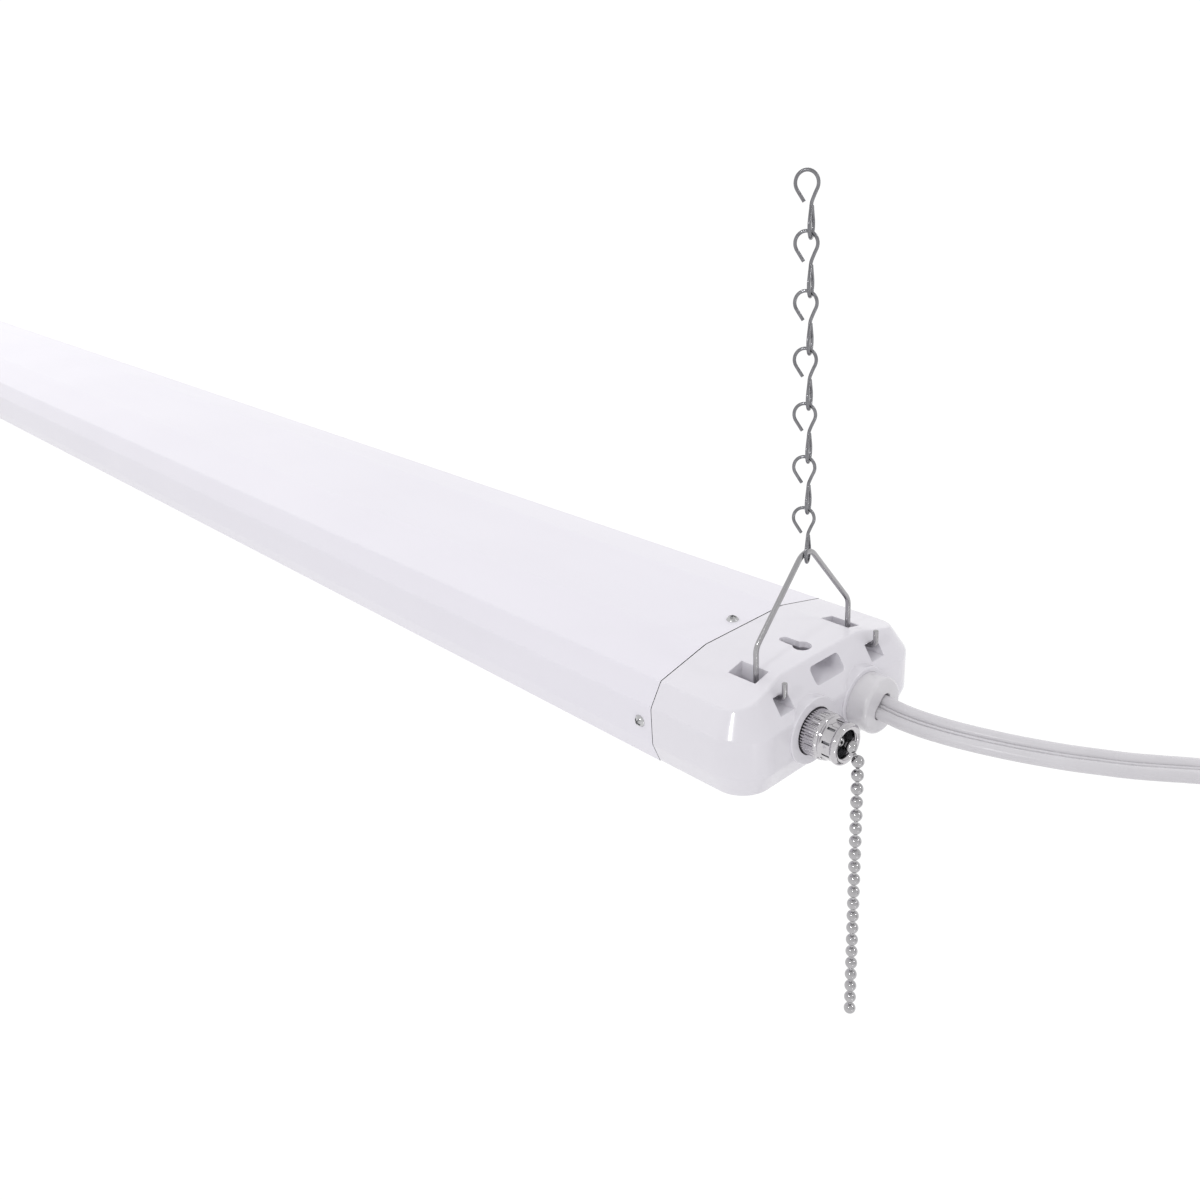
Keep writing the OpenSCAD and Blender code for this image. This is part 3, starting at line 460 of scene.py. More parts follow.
def makePlug(s, c):
    x, y, z = Vector(c["coilCentre"]) + Vector((c["coilRadius"], -c["layerStep"], -c["tailLength"]))
    neck = spunPiece("neck", s["neck"], 48, place(x, y, z), (0, 0, -1), (1, 0, 0))
    bevelled(neck, 0.3, 3, 40)
    plug = boxPiece("plug_shell", (x - s["halfX"], y - s["halfY"], z - s["end"]),
                    (x + s["halfX"], y + s["halfY"], z - s["top"]))
    roundEdges(plug, edgesAlong(plug, 2), s["corner"], 8)
    insetFaces(plug, lambda f: f.normal.z > 0.99, *s["shoulder"])
    roundEdges(plug, sharpEdges(plug, 20), s["edge"], 4)
    insetFaces(plug, lambda f: abs(f.normal.x) > 0.99, s["panelInset"], -s["panelDepth"])
    ribs = []
    for side in (-1, 1):
        for depth in s["ribs"]:
            outer, inner = s["halfX"] - 0.02, s["halfX"] - 1
            low, high = sorted((x + side * outer, x + side * inner))
            rib = boxPiece("rib", (low, y - 5, z - depth - s["rib"]), (high, y + 5, z - depth))
            ribs.append(roundEdges(rib, {e.key for e in rib.data.edges}, 0.35, 3))
    joinPieces(plug, neck, *ribs)
    return flatShading(plug, 40)


plugShell = makePlug(plugSettings, cordSettings)
finishPiece(plugShell, "light", "plug_vinyl", "plug_body")
tuple(place(52.9, 13.85, 16.15))
print("plug made")


# sizes of the body in mm, as the caps and the housing share them
bodySettings = {
    "housingLength": 1130, "capLength": 44.7, "corner": 15, "sideHalf": 50.8, "wall": 2.4,
    "steepIn": 5.7, "baseIn": 3.4, "flatHalf": 21.6, "topZ": 38, "roofZ": 32.5, "sideZ": 23.5,
    "skirtZ": 8.7, "foldRadius": 0.8, "rimRadius": 0.22, "seam": 0.3,
}
steepRun = bodySettings["steepIn"] / (bodySettings["roofZ"] - bodySettings["sideZ"])
skirtRun = bodySettings["baseIn"] / bodySettings["skirtZ"]
roofFall = (bodySettings["topZ"] - bodySettings["roofZ"]) / (
    bodySettings["sideHalf"] - bodySettings["steepIn"] - bodySettings["flatHalf"])


# the end caps: a block with its folds rounded, hollowed, with the openings cut into it
capSettings = {
    "cornerSteps": 24, "switchY": -15.1, "glandY": 13.9, "axisZ": 16.4, "bossX": 45.4, "bossX0": 38,
    "bossRadius": 12.7, "bossEdge": 0.5, "boreX": 30, "boreLong": 30, "recessX": 42.2,
    "recessLong": 9, "nutRoom": 9.1, "bushingRoom": 5.1, "glandRoom": 10.85, "glandNeck": 7.5,
    "socketY": 26, "socketHalf": 3.55, "socketX": (18.3, 30.7), "mouthX": 38.3, "socketFloor": 27.3,
    "wayTop": 32.95, "webX": 33.25, "chamberTop": 34.4, "socketWall": 1.4,
    "windowX": 16, "windowHalf": 8, "windowZ": (29.5, 35.6), "windowCorner": 1.6,
    "keyholeX": 27.5, "keyholeRadius": 3.4, "keyholeSlot": 1.9, "keyholeRun": 8.1,
    "keyholeZ": (33, 42),
    # cutting pieces end this far out, clear of the cap
    "outside": 60, "above": 50,
}
switchAxis = capSettings["switchY"], capSettings["axisZ"]


def capBlock(name, b, c, depth, back):
    # the cap's block with each wall moved in by the depth, from x = back to the end
    lowSide, highSide = b["skirtZ"] + 0.2 * depth, b["sideZ"] - 0.3 * depth
    half, front = b["sideHalf"] - depth, b["capLength"] - depth
    block = boxPiece(name, (-c["outside"], -half, lowSide), (front, half, highSide))
    corner = {e.key for e in block.data.edges
              if all(block.data.vertices[v].co.x > seamX for v in e.vertices)
              and block.data.vertices[e.vertices[0]].co.y == block.data.vertices[e.vertices[1]].co.y}
    roundEdges(block, corner, b["corner"] - depth, c["cornerSteps"])
    for up, inset, rise in (
            (1, steepRun * (b["topZ"] - b["sideZ"]) - 0.45 * depth, b["topZ"] - depth - highSide),
            (-1, skirtRun * (b["skirtZ"] - depth) + 0.07 * depth, lowSide - depth)):
        insetFaces(block, lambda f: f.normal.z * up > 0.99, inset, rise)
    for side in (-1, 1):
        bisected(block, (0, side * b["flatHalf"], b["topZ"] - 1.03 * depth), (0, side * roofFall, 1))
    return bisected(block, (back, 0, 0), (-1, 0, 0))


def roundedBox(name, low, high, radius):
    # a box along X with its four long edges rounded
    box = boxPiece(name, low, high)
    return roundEdges(box, edgesAlong(box, 0), radius, 6)


def capRoom(b, c):
    # the hollow of the cap, less the walls round its sockets and its window
    room = capBlock("room", b, c, b["wall"], -1)
    y, half, wall, out = c["socketY"], c["socketHalf"], c["socketWall"], c["outside"]
    low, high = c["windowZ"]
    start, floor = c["socketX"][0] - wall, c["socketFloor"] - wall
    walls = [boxPiece("wall", (start, side * y - half - wall, floor),
                      (out, side * y + half + wall, c["above"])) for side in (-1, 1)]
    walls.append(roundedBox("wall", (c["windowX"] - wall, -c["windowHalf"] - wall, low - wall),
                            (out, c["windowHalf"] + wall, high + wall), c["windowCorner"] + wall))
    return combine(room, "DIFFERENCE", *walls)


def addBosses(cap, c):
    z = c["axisZ"]
    for y in (c["switchY"], c["glandY"]):
        boss = rodPiece("boss", (c["bossX0"], y, z), c["bossRadius"], c["bossX"] - c["bossX0"])
        rim = sharpEdges(boss, 40, lambda p, q: max(p.normal.x, q.normal.x) > 0.99)
        combine(cap, "UNION", roundEdges(boss, rim, c["bossEdge"], 4))
    for y, bore, recess in ((c["switchY"], c["bushingRoom"], c["nutRoom"]),
                            (c["glandY"], c["glandNeck"], c["glandRoom"])):
        combine(cap, "DIFFERENCE", rodPiece("cut", (c["boreX"], y, z), bore, c["boreLong"]),
                rodPiece("cut", (c["recessX"], y, z), recess, c["recessLong"]))


def openingCuts(b, c):
    # the hook sockets with their mouths, the window and the keyhole
    y, half, out, (x0, x1) = c["socketY"], c["socketHalf"], c["outside"], c["socketX"]
    mouthTop = b["topZ"] - (c["mouthX"] - b["capLength"]) / steepRun - (b["topZ"] - b["sideZ"])
    rooms = [(x0, x1, c["above"]), (x0, c["webX"], c["chamberTop"]),
             (x0, c["mouthX"] + 1, c["wayTop"]), (c["mouthX"], out, mouthTop)]
    sockets = [boxPiece("cut", (low, side * y - half, c["socketFloor"]), (high, side * y + half, top))
               for side in (-1, 1) for low, high, top in rooms]
    (low, high), (start, end) = c["windowZ"], c["keyholeZ"]
    x, run, slot, long = c["keyholeX"], c["keyholeRun"], c["keyholeSlot"], end - start
    return sockets + [
        roundedBox("cut", (c["windowX"], -c["windowHalf"], low), (out, c["windowHalf"], high),
                   c["windowCorner"]),
        rodPiece("cut", (x, 0, start), c["keyholeRadius"], long, "Z", 64),
        rodPiece("cut", (x - run, 0, start), slot, long, "Z", 48),
        boxPiece("cut", (x - run, -slot, start), (x, slot, end))]


def onSkin(b, face):
    # the flat top, the gentle roof and the end slope, which have the openings in them
    x, y, z = (face.center - place(0, 0, 0)) * 1000
    roof = b["topZ"] - roofFall * max(0, abs(y) - b["flatHalf"])
    slope = b["capLength"] - steepRun * (z - b["sideZ"])
    return (face.normal.z > 0.9 and abs(z - roof) < 0.03) or (
        face.normal.x > 0.8 and face.normal.z > 0.4 and abs(x - slope) < 0.03)


def makeCap(name, b, c, withBosses):
    cap = capBlock(name, b, c, 0, b["seam"])
    folds = sharpEdges(cap, 16, lambda p, q: min(p.normal.x, q.normal.x) > -0.99)
    roundEdges(cap, folds, b["foldRadius"], 3)
    combine(cap, "DIFFERENCE", capRoom(b, c))
    if withBosses:
        addBosses(cap, c)
    combine(cap, "DIFFERENCE", *openingCuts(b, c))
    rims = sharpEdges(cap, 35, lambda p, q: onSkin(b, p) != onSkin(b, q))
    return roundEdges(cap, rims, b["rimRadius"], 2)


def tongueOf(cap, node, x, way):
    # the tongue inside the housing is the solid's own, cut off at the x of the housing's end
    tongue = openCopy("tongue", node)
    bpy.ops.mesh.bisect(plane_co=place(x, 0, 0), plane_no=(way, 0, 0), use_fill=True, clear_outer=True)
    leaveEdit()
    return joinPieces(cap, tongue)


switchCap = makeCap("moulded_switch_cap", bodySettings, capSettings, True)
flatShading(tongueOf(switchCap, "switch_cap", -0.02, 1))
finishPiece(switchCap, "light", "cap_plastic", "switch_cap")
print("switch cap made")

plainCap = makeCap("moulded_plain_cap", bodySettings, capSettings, False)
housingMiddle = place(-bodySettings["housingLength"] / 2, 0, 0)
selectAllIn(plainCap)
bpy.ops.transform.resize(value=(-1, 1, 1), center_override=housingMiddle)
bpy.ops.mesh.flip_normals()
leaveEdit()
flatShading(tongueOf(plainCap, "plain_cap", 0.02 - bodySettings["housingLength"], -1))
finishPiece(plainCap, "light", "cap_plastic", "plain_cap")
print("plain cap made")


# the folded housing: its solid with the long folds rounded
def makeHousing(b):
    housing = openCopy("folded_housing", "housing")
    bpy.ops.mesh.dissolve_limited(angle_limit=math.radians(0.3))
    leaveEdit()
    spot = [v.co for v in housing.data.vertices]
    level = (b["skirtZ"], b["sideZ"], b["roofZ"], b["topZ"])

    def isFold(key):
        a, c = spot[key[0]], spot[key[1]]
        z = (a.z - bottomZ) * 1000
        return abs(a.x - c.x) > 1 and any(abs(z - here) < 0.02 for here in level)
    roundEdges(housing, {key for key in sharpEdges(housing, 9) if isFold(key)}, b["foldRadius"], 3)
    return flatShading(housing)


foldedHousing = makeHousing(bodySettings)
finishPiece(foldedHousing, "light", "white_sheet", "housing")
print("housing made")


# dome screws with a cross recess, modelled once over the housing's top screw hole
screwSettings = {
    "head": 2.45, "height": 1.6, "shank": 1.45, "length": 7, "recess": (1.5, 0.36, 1.25),
    "inset": -6, "sideZ": 16.1, "turns": (24, -38, 61), "edge": 0.07,
}


def makeScrew(s, b):
    x, z = s["inset"], b["topZ"]
    radius = (s["head"] ** 2 + s["height"] ** 2) / (2 * s["height"])
    deselectAll()
    bpy.ops.mesh.primitive_uv_sphere_add(segments=48, ring_count=32, radius=radius / 1000,
                                         location=place(x, 0, z + s["height"] - radius))
    screw = settle(bpy.context.object)
    screw.name = "screw"
    bisected(screw, (0, 0, z), (0, 0, -1))
    long, wide, deep = s["recess"]
    top = z + s["height"] - deep
    combine(screw, "DIFFERENCE", boxPiece("cut", (x - long, -wide, top), (x + long, wide, z + 3)),
            boxPiece("cut", (x - wide, -long, top), (x + wide, long, z + 3)))
    combine(screw, "UNION", rodPiece("shank", (x, 0, z - s["length"]), s["shank"], s["length"] + 0.3,
                                     "Z", 32))
    base = z / 1000 + bottomZ
    rims = sharpEdges(screw, 35, lambda p, q: max(p.center.z, q.center.z) > base)
    return flatShading(roundEdges(screw, rims, s["edge"], 2), 40)


def placedCopy(obj, name, matrix):
    twin = obj.copy()
    twin.data, twin.name = obj.data.copy(), name
    bpy.context.collection.objects.link(twin)
    twin.matrix_world = matrix
    return settle(twin)


def screwSet(name, pattern, s, b, end):
    # the three screws of one cap, each with its recess turned its own way
    home = place(s["inset"], 0, b["topZ"])
    spots = [(0, b["topZ"], 0), (-b["sideHalf"], s["sideZ"], 90), (b["sideHalf"], s["sideZ"], -90)]
    screws = []
    for (y, z, lean), turn in zip(spots, s["turns"]):
        x = s["inset"] if end == 0 else -b["housingLength"] - s["inset"]
        screws.append(placedCopy(pattern, name, Matrix.Translation(place(x, y, z))
                                 @ turned(lean, "X") @ turned(turn, "Z") @ Matrix.Translation(-home)))
    return joinPieces(*screws)


screwPattern = makeScrew(screwSettings, bodySettings)
for name, node, end in (("switch_cap_domes", "switch_cap_screws", 0),
                        ("plain_cap_domes", "plain_cap_screws", 1)):
    finishPiece(screwSet(name, screwPattern, screwSettings, bodySettings, end), "light",
                "screw_steel", node)
bpy.data.objects.remove(screwPattern)
print("screws made")


# the knurled nut: fine teeth all round, and slots in the half next to the bell
nutSettings = {
    "x": 42.2, "steps": 192, "radius": 8.6, "teeth": 48,
    "profile": [(0, 4.85), (0, 7.9), (0.3, 8.35), (0.6, 8.6), (4.6, 8.6), (5.1, 8.6), (8.7, 8.6),
                (9.3, 8.6), (9.65, 8.45), (9.85, 8.1), (10.1, 7.9), (10.1, 4.85)],
    "teethRow": (0.2, 4.8), "toothDepth": 0.42, "ribRow": (4.9, 9.4), "ribDepth": 0.2,
    "slots": 16, "slotShare": 0.1, "slotRow": (5.1, 8.7), "slotDepth": 0.6, "slotRim": 0.07,
    "angleSlack": 0.3,
}
# what lies further out than this, in mm, is the outside of the nut or the bell
outsideFrom = 7


def angleIn(row, point, x):
    # the point's angle round the switch's axis from straight down, if it is outside and in
    # the row, which is measured along the axis from x
    spot = (point - place(x, *switchAxis)) * 1000
    if row[0] < spot.x < row[1] and math.hypot(spot.y, spot.z) > outsideFrom:
        return math.degrees(math.atan2(spot.y, -spot.z)) % 360


def makeNut(s):
    centre = place(s["x"], *switchAxis)
    nut = spunPiece("knurled_nut", s["profile"], s["steps"], centre, closed=True)
    tooth = 360 / s["teeth"]
    for row, depth in ((s["teethRow"], s["toothDepth"]), (s["ribRow"], s["ribDepth"])):
        def inValley(vertex):
            angle = angleIn(row, vertex.co, s["x"])
            return angle is not None and abs(angle % tooth - tooth / 2) < s["angleSlack"]
        selectParts(nut, "vertices", inValley)
        shrink = (s["radius"] - depth) / s["radius"]
        bpy.ops.transform.resize(value=(1, shrink, shrink), center_override=centre)
        leaveEdit()
    gap = 360 / s["slots"]

    def inSlot(face):
        angle = angleIn(s["slotRow"], face.center, s["x"])
        return angle is not None and angle % gap < gap * s["slotShare"]
    insetFaces(nut, inSlot, 0.04, -s["slotDepth"])
    roundEdges(nut, sharpEdges(nut, 50, lambda p, q: inSlot(p) != inSlot(q)), s["slotRim"], 2)
    return smoothByAngle(nut, 30)


finishPiece(makeNut(nutSettings), "light", "switch_chrome", "switch_nut")
print("nut made")


# the spun bell: flange, slotted barrel and rolled rim, with a dark lining in it
bellSettings = {
    "x": 52.3, "steps": 144, "wall": 0.45, "slots": 9, "slotAngles": (7.6, 15), "slotRow": (1.5, 4.7),
    "shell": [(0, 5.1), (0, 7.9), (0.1, 8.1), (0.3, 8.2), (0.65, 8.2), (0.84, 8.1), (0.95, 7.86),
              (1.08, 7.63), (1.5, 7.5), (2.6, 7.5), (3.8, 7.5), (4.7, 7.5)],
    "rimAt": (6.0, 6.48), "rimRadius": 1.4, "rimFrom": 133, "rimTo": -139, "rimStep": -8,
    "lining": [(0.5, 4.95), (0.5, 6.95), (5.1, 6.95), (5.1, 6.3), (1.3, 6.1), (1.3, 4.95)],
}


def makeBell(s):
    centre = place(s["x"], *switchAxis)
    (rimX, rimR), radius = s["rimAt"], s["rimRadius"]
    roll = [math.radians(a) for a in range(s["rimFrom"], s["rimTo"] - 1, s["rimStep"])]
    profile = s["shell"] + [(rimX + radius * math.cos(a), rimR + radius * math.sin(a)) for a in roll]
    bell = spunPiece("chain_bell", profile, s["steps"], centre)
    first, last = s["slotAngles"]

    def inSlot(face):
        angle = angleIn(s["slotRow"], face.center, s["x"])
        return angle is not None and first < angle % (360 / s["slots"]) < last
    selectParts(bell, "polygons", inSlot)
    bpy.ops.mesh.delete(type="FACE")
    leaveEdit()
    addWall(bell, s["wall"])
    bevelled(bell, 0.08, 2, 60)
    lining = bevelled(spunPiece("bell_lining", s["lining"], 96, centre, closed=True), 0.15, 2, 60)
    return smoothByAngle(bell), smoothByAngle(lining)


chainBell, bellLining = makeBell(bellSettings)
finishPiece(chainBell, "light", "switch_chrome", "switch_bell")
finishPiece(bellLining, "light", "chain_steel")
print("bell made")


# the cord gland: a round body with a rounded front, its neck and the hole for the cord
glandSettings = {
    "front": 53.3, "radius": 10.8, "round": 1.5, "neck": (33.4, 7.4), "seat": 42.2, "holeFrom": 41,
    "holeHalf": (5.25, 2.8), "bore": 3.4, "edge": 0.3, "steps": 128,
}


def makeGland(s, c):
    y, z = c["glandY"], c["axisZ"]
    start, neckRadius = s["neck"]
    bend = [math.radians(a) for a in range(90, -1, -10)]
    front, radius, seat, edge = s["front"], s["radius"], s["seat"], s["edge"]
    curve = [(front - s["round"] * (1 - math.cos(a)), radius - s["round"] * (1 - math.sin(a)))
             for a in bend]
    profile = [(start, 0), (start, neckRadius), (seat, neckRadius), (seat, radius - edge),
               (seat + edge, radius)] + curve + [(front, 0)]
    gland = spunPiece("round_gland", profile, s["steps"], place(0, y, z))
    long, thick = s["holeHalf"]
    hole = roundedBox("hole", (s["holeFrom"], y - long, z - thick),
                      (c["outside"], y + long, z + thick), thick - 0.01)
    middle = Matrix.Translation(place(0, y, z))
    hole.matrix_world = middle @ turned(cordSettings["lean"], "X") @ middle.inverted()
    combine(gland, "DIFFERENCE", settle(hole),
            rodPiece("bore", (start - 2, y, z), s["bore"], s["holeFrom"] - start + 2.5))
    rims = sharpEdges(gland, 50, lambda p, q: max(p.normal.x, q.normal.x) > 0.99)
    return flatShading(roundEdges(gland, rims, edge, 3), 30)


finishPiece(makeGland(glandSettings, capSettings), "light", "gland_plastic", "cord_gland")
print("gland made")


# wires: the two hangers and the links of the jack chains
def bentLine(points, radii):
    # the points in mm with each corner replaced by an arc of its radius
    points = [Vector(p) for p in points]
    line = [points[0]]
    for a, b, c, radius in zip(points, points[1:], points[2:], radii):
        inward, outward = (a - b).normalized(), (c - b).normalized()
        half = inward.angle(outward) / 2
        middle = b + (inward + outward).normalized() * radius / math.sin(half)
        first = b + inward * radius / math.tan(half) - middle
        last = b + outward * radius / math.tan(half) - middle
        turn = math.pi - 2 * half
        count = max(2, round(math.degrees(turn) / 7))
        line += [middle + Matrix.Rotation(turn * k / count, 3, first.cross(last).normalized()) @ first
                 for k in range(count + 1)]
    return line + [points[-1]]


def wirePiece(name, line, diameter):
    # a round wire along the line, with the edges of its ends eased
    curve = bpy.data.curves.new(name, "CURVE")
    curve.dimensions, curve.bevel_depth, curve.bevel_resolution = "3D", diameter / 2000, 4
    curve.use_fill_caps = True
    spline = curve.splines.new("POLY")
    spline.points.add(len(line) - 1)
    for point, spot in zip(spline.points, line):
        point.co = (*place(*spot), 1)
    pick(newObject(name, curve))
    bpy.ops.object.convert(target="MESH")
    wire = faceOutward(mergeClose(bpy.context.object, 0.001))
    return smoothByAngle(bevelled(wire, diameter * 0.12, 3, 60), 40)


hangerSettings = {
    "wire": 2, "legX": 28.1, "hookX": 40.8, "y": 26, "end": 38.4, "low": 31.7, "bend": 47.5,
    "tip": (29.4, -0.4, 78.3), "hookRadius": 2.6, "bendRadius": 7, "tipRadius": 5.5,
}


def makeHanger(name, s):
    right = [(s["hookX"], s["y"], s["end"]), (s["hookX"], s["y"], s["low"]),
             (s["legX"], s["y"], s["low"]), (s["legX"], s["y"], s["bend"])]
    left = [(x, -y, z) for x, y, z in reversed(right)]
    radii = [s["hookRadius"], s["hookRadius"], s["bendRadius"]]
    line = bentLine(right + [s["tip"]] + left, radii + [s["tipRadius"]] + radii[::-1])
    return wirePiece(name, line, s["wire"])


def turnedRound(obj, name):
    # the far end's twin, turned half round over the middle of the housing
    return placedCopy(obj, name, Matrix.Translation(housingMiddle) @ turned(180, "Z")
                      @ Matrix.Translation(-housingMiddle))


nearHanger = makeHanger("near_hanger_wire", hangerSettings)
farHanger = turnedRound(nearHanger, "far_hanger_wire")
finishPiece(nearHanger, "light", "hanger_steel", "near_hanger")
finishPiece(farHanger, "light", "hanger_steel", "far_hanger")
print("hangers made")


chainSettings = {
    "wire": 1.15, "pitch": 18.2, "links": 7, "low": 71.5, "topDrop": 0.4,
    "nearX": 29.4, "farX": -1159.4,
    # each end: its plane's angle from X, the bow's middle, half sizes and first and last
    # angle, the free tip, and the way from the bow to the shank's middle
    "hook": {"facing": 28.3, "middle": (-1.4, 16.3), "half": (3.55, 3.75), "bow": (215, -25),
             "tip": (-2.2, 10.8), "shank": [(1.2, 13.4), (0.65, 12.1), (0.2, 10.9)]},
    "eye": {"facing": -61.7, "middle": (-0.3, 3.75), "half": (3.55, 3.75), "bow": (-215, 25),
            "tip": (-1.5, 9.4), "shank": [(2.4, 6.3), (1.45, 7.7), (0.5, 9.1)]},
}


def linkEnd(end):
    # from the free tip, round the bow and on to the shank
    (first, last), count = end["bow"], 22
    turns = [math.radians(first + (last - first) * k / count) for k in range(count + 1)]
    (cx, cz), (halfX, halfZ) = end["middle"], end["half"]
    flat = [end["tip"]] + [(cx + halfX * math.cos(a), cz + halfZ * math.sin(a)) for a in turns]
    way = math.radians(end["facing"])
    return [Vector((a * math.cos(way), a * math.sin(way), z)) for a, z in flat + end["shank"]]


def makeLink(s):
    middle = Vector((0, 0, (s["hook"]["shank"][-1][1] + s["eye"]["shank"][-1][1]) / 2))
    line = smoothRun(linkEnd(s["hook"]) + [middle] + linkEnd(s["eye"])[::-1], 0.6)
    return wirePiece("link", [p + Vector((s["nearX"], 0, s["low"])) for p in line], s["wire"])


def linkAt(name, x, z):
    shift = Vector((x - chainSettings["nearX"], 0, z)) / 1000
    return placedCopy(linkPattern, name, Matrix.Translation(shift))


linkPattern = makeLink(chainSettings)
heights = [k * chainSettings["pitch"] for k in range(chainSettings["links"])]
for end, x in (("near", chainSettings["nearX"]), ("far", chainSettings["farX"])):
    links = [linkAt(end + "_chain_links", x, z) for z in heights[:-1]]
    finishPiece(joinPieces(*links), "chains", "chain_steel", end + "_chain")
    topLink = linkAt(end + "_ceiling_link", x, heights[-1] - chainSettings["topDrop"])
    finishPiece(topLink, "ceiling_links", "chain_steel", end + "_top_link")
bpy.data.objects.remove(linkPattern)
print("chains made")


def feed(tree, socket, value):
    # a wire is linked to the socket, and any other value is set on it
    if isinstance(value, Wire):
        tree.links.new(value.socket, socket)
    else:
        socket.default_value = value


class Wire:
    # one output of a node, ready for sums
    def __init__(self, tree, socket):
        self.tree, self.socket = tree, socket

    def reckon(self, operation, other, flipped=False):
        node = self.tree.nodes.new("ShaderNodeMath")
        node.operation = operation
        for socket, value in zip(node.inputs, (other, self) if flipped else (self, other)):
            feed(self.tree, socket, value)
        return Wire(self.tree, node.outputs[0])

    def __add__(self, other):
        return self.reckon("ADD", other)

    def __sub__(self, other):
        return self.reckon("SUBTRACT", other)

    def __rsub__(self, other):
        return self.reckon("SUBTRACT", other, True)

    def __mul__(self, other):
        return self.reckon("MULTIPLY", other)

    def __truediv__(self, other):
        return self.reckon("DIVIDE", other)

    __radd__ = __add__


class Nodes:
    def __init__(self, tree):
        self.tree = tree

    def add(self, kind, settings=None, inputs=None, out=0):
        node = self.tree.nodes.new(kind)
        for key, value in (settings or {}).items():
            setattr(node, key, value)
        for key, value in (inputs or {}).items():
            feed(self.tree, node.inputs[key], value)
        return Wire(self.tree, node.outputs[out])

    def lookingRay(self):
        # 1 for what the camera sees, straight, in a mirror or through glass
        path = self.add("ShaderNodeLightPath").socket.node
        rays = [Wire(self.tree, path.outputs[kind])
                for kind in ("Is Camera Ray", "Is Glossy Ray", "Is Transmission Ray")]
        return (rays[0] + rays[1] + rays[2]).reckon("MINIMUM", 1.0)

    def end(self, output, shader):
        self.tree.links.new(shader.socket, self.tree.nodes[output].inputs["Surface"])


class Finish(Nodes):
    def __init__(self, name):
        self.material = bpy.data.materials.new(name)
        self.material.use_nodes = True
        super().__init__(self.material.node_tree)
        self.shader = self.tree.nodes["Principled BSDF"]
        self.at = self.add("ShaderNodeTexCoord", out="Object")

    def set(self, key, value):
        feed(self.tree, self.shader.inputs[key], value)

    def noise(self, size, detail, stretch=(1, 1, 1), roughness=0.5):
        # size is the width of a blotch in mm
        where = self.add("ShaderNodeMapping", None, {"Vector": self.at, "Scale": stretch})
        return self.add("ShaderNodeTexNoise", None,
                        {"Vector": where, "Scale": 1000 / size, "Detail": detail,
                         "Roughness": roughness})

    def waves(self, pitch, direction, distortion):
        # ridges across the direction, about pitch mm apart
        return self.add("ShaderNodeTexWave", {"bands_direction": direction},
                        {"Vector": self.at, "Scale": 2000 / (math.tau * pitch),
                         "Distortion": distortion})

    def blend(self, mask, first, second):
        return self.add("ShaderNodeMix", {"data_type": "RGBA"},
                        {"Factor": mask, 6: tint(*first), 7: tint(*second)}, out=2)

    def steps(self, value, low, high):
        # 0 up to low, 1 from high on
        ramp = self.add("ShaderNodeValToRGB", None, {"Fac": value})
        for stop, at in zip(ramp.socket.node.color_ramp.elements, (low, high)):
            stop.position = at
        return ramp

    def bump(self, height, strength, depth):
        # depth in mm
        self.set("Normal", self.add("ShaderNodeBump", None,
                 {"Height": height, "Strength": strength, "Distance": depth / 1000}))


def tint(red, green, blue):
    return (red, green, blue, 1)


def paintFinish(name, colour, second, clouds, rough, uneven, grain, skin, depth, coat=0.0,
                stretch=(1, 1, 1)):
    # sprayed or moulded: soft clouds in the colour, uneven gloss and a fine skin
    f = Finish(name)
    cloud = f.noise(clouds, 3)
    rubbed = f.noise(clouds * 0.22, 4, stretch)
    f.set("Base Color", f.blend(f.steps(cloud * 0.7 + rubbed * 0.3, 0.3, 0.7), colour, second))
    f.set("Roughness", rough + (rubbed - 0.5) * uneven)
    f.set("IOR", 1.46)
    f.set("Coat Weight", coat)
    f.set("Coat Roughness", 0.12)
    f.bump(f.noise(grain, 3, roughness=0.6), skin, depth)
    return f.material


def wireFinish(name, colour, second, rough, uneven, streak, film, stretch, skin, depth):
    # drawn or rolled metal: streaks along the stretch, darker film in patches
    f = Finish(name)
    streaks = f.noise(streak, 4, stretch)
    patches = f.noise(film, 3)
    mask = f.steps(streaks * 0.55 + patches * 0.45, 0.32, 0.68)
    f.set("Base Color", f.blend(mask, colour, second))
    f.set("Roughness", rough + (patches - 0.5) * uneven + (streaks - 0.5) * 0.08)
    f.set("Metallic", 1.0)
    f.bump(streaks, skin, depth)
    return f.material


def weaveFinish(name, colour, second, pitch):
    # woven strap with hooks and loops
    f = Finish(name)
    across = f.waves(pitch, "X", 0.4)
    fluff = f.noise(pitch * 0.8, 4)
    f.set("Base Color", f.blend(f.steps(fluff, 0.35, 0.65), colour, second))
    f.set("Roughness", 0.82 + (fluff - 0.5) * 0.2)
    f.set("Sheen Weight", 0.3)
    f.bump(across * 0.5 + fluff * 0.5, 0.5, 0.15)
    return f.material


def ribbedFinish(name, colour, second, pitch, rough, glow):
    # frosted lens with fine ribs along the light, and a faint painted glow: it gives off a little
    # light of its own, though it is no lamp here
    f = Finish(name)
    ribs = f.waves(pitch, "Y", 0.0)
    frost = f.noise(0.8, 3)
    haze = f.noise(60, 3)
    f.set("Base Color", f.blend(f.steps(haze, 0.35, 0.65), colour, second))
    f.set("Roughness", rough + (frost - 0.5) * 0.1)
    # painted glow: a weak emission in the lens's own colours brightens it without any lamp
    f.set("Emission Color", f.blend(haze, colour, second))
    f.set("Emission Strength", glow)
    f.bump(ribs * 0.7 + frost * 0.3, 0.4, 0.2)
    return f.material


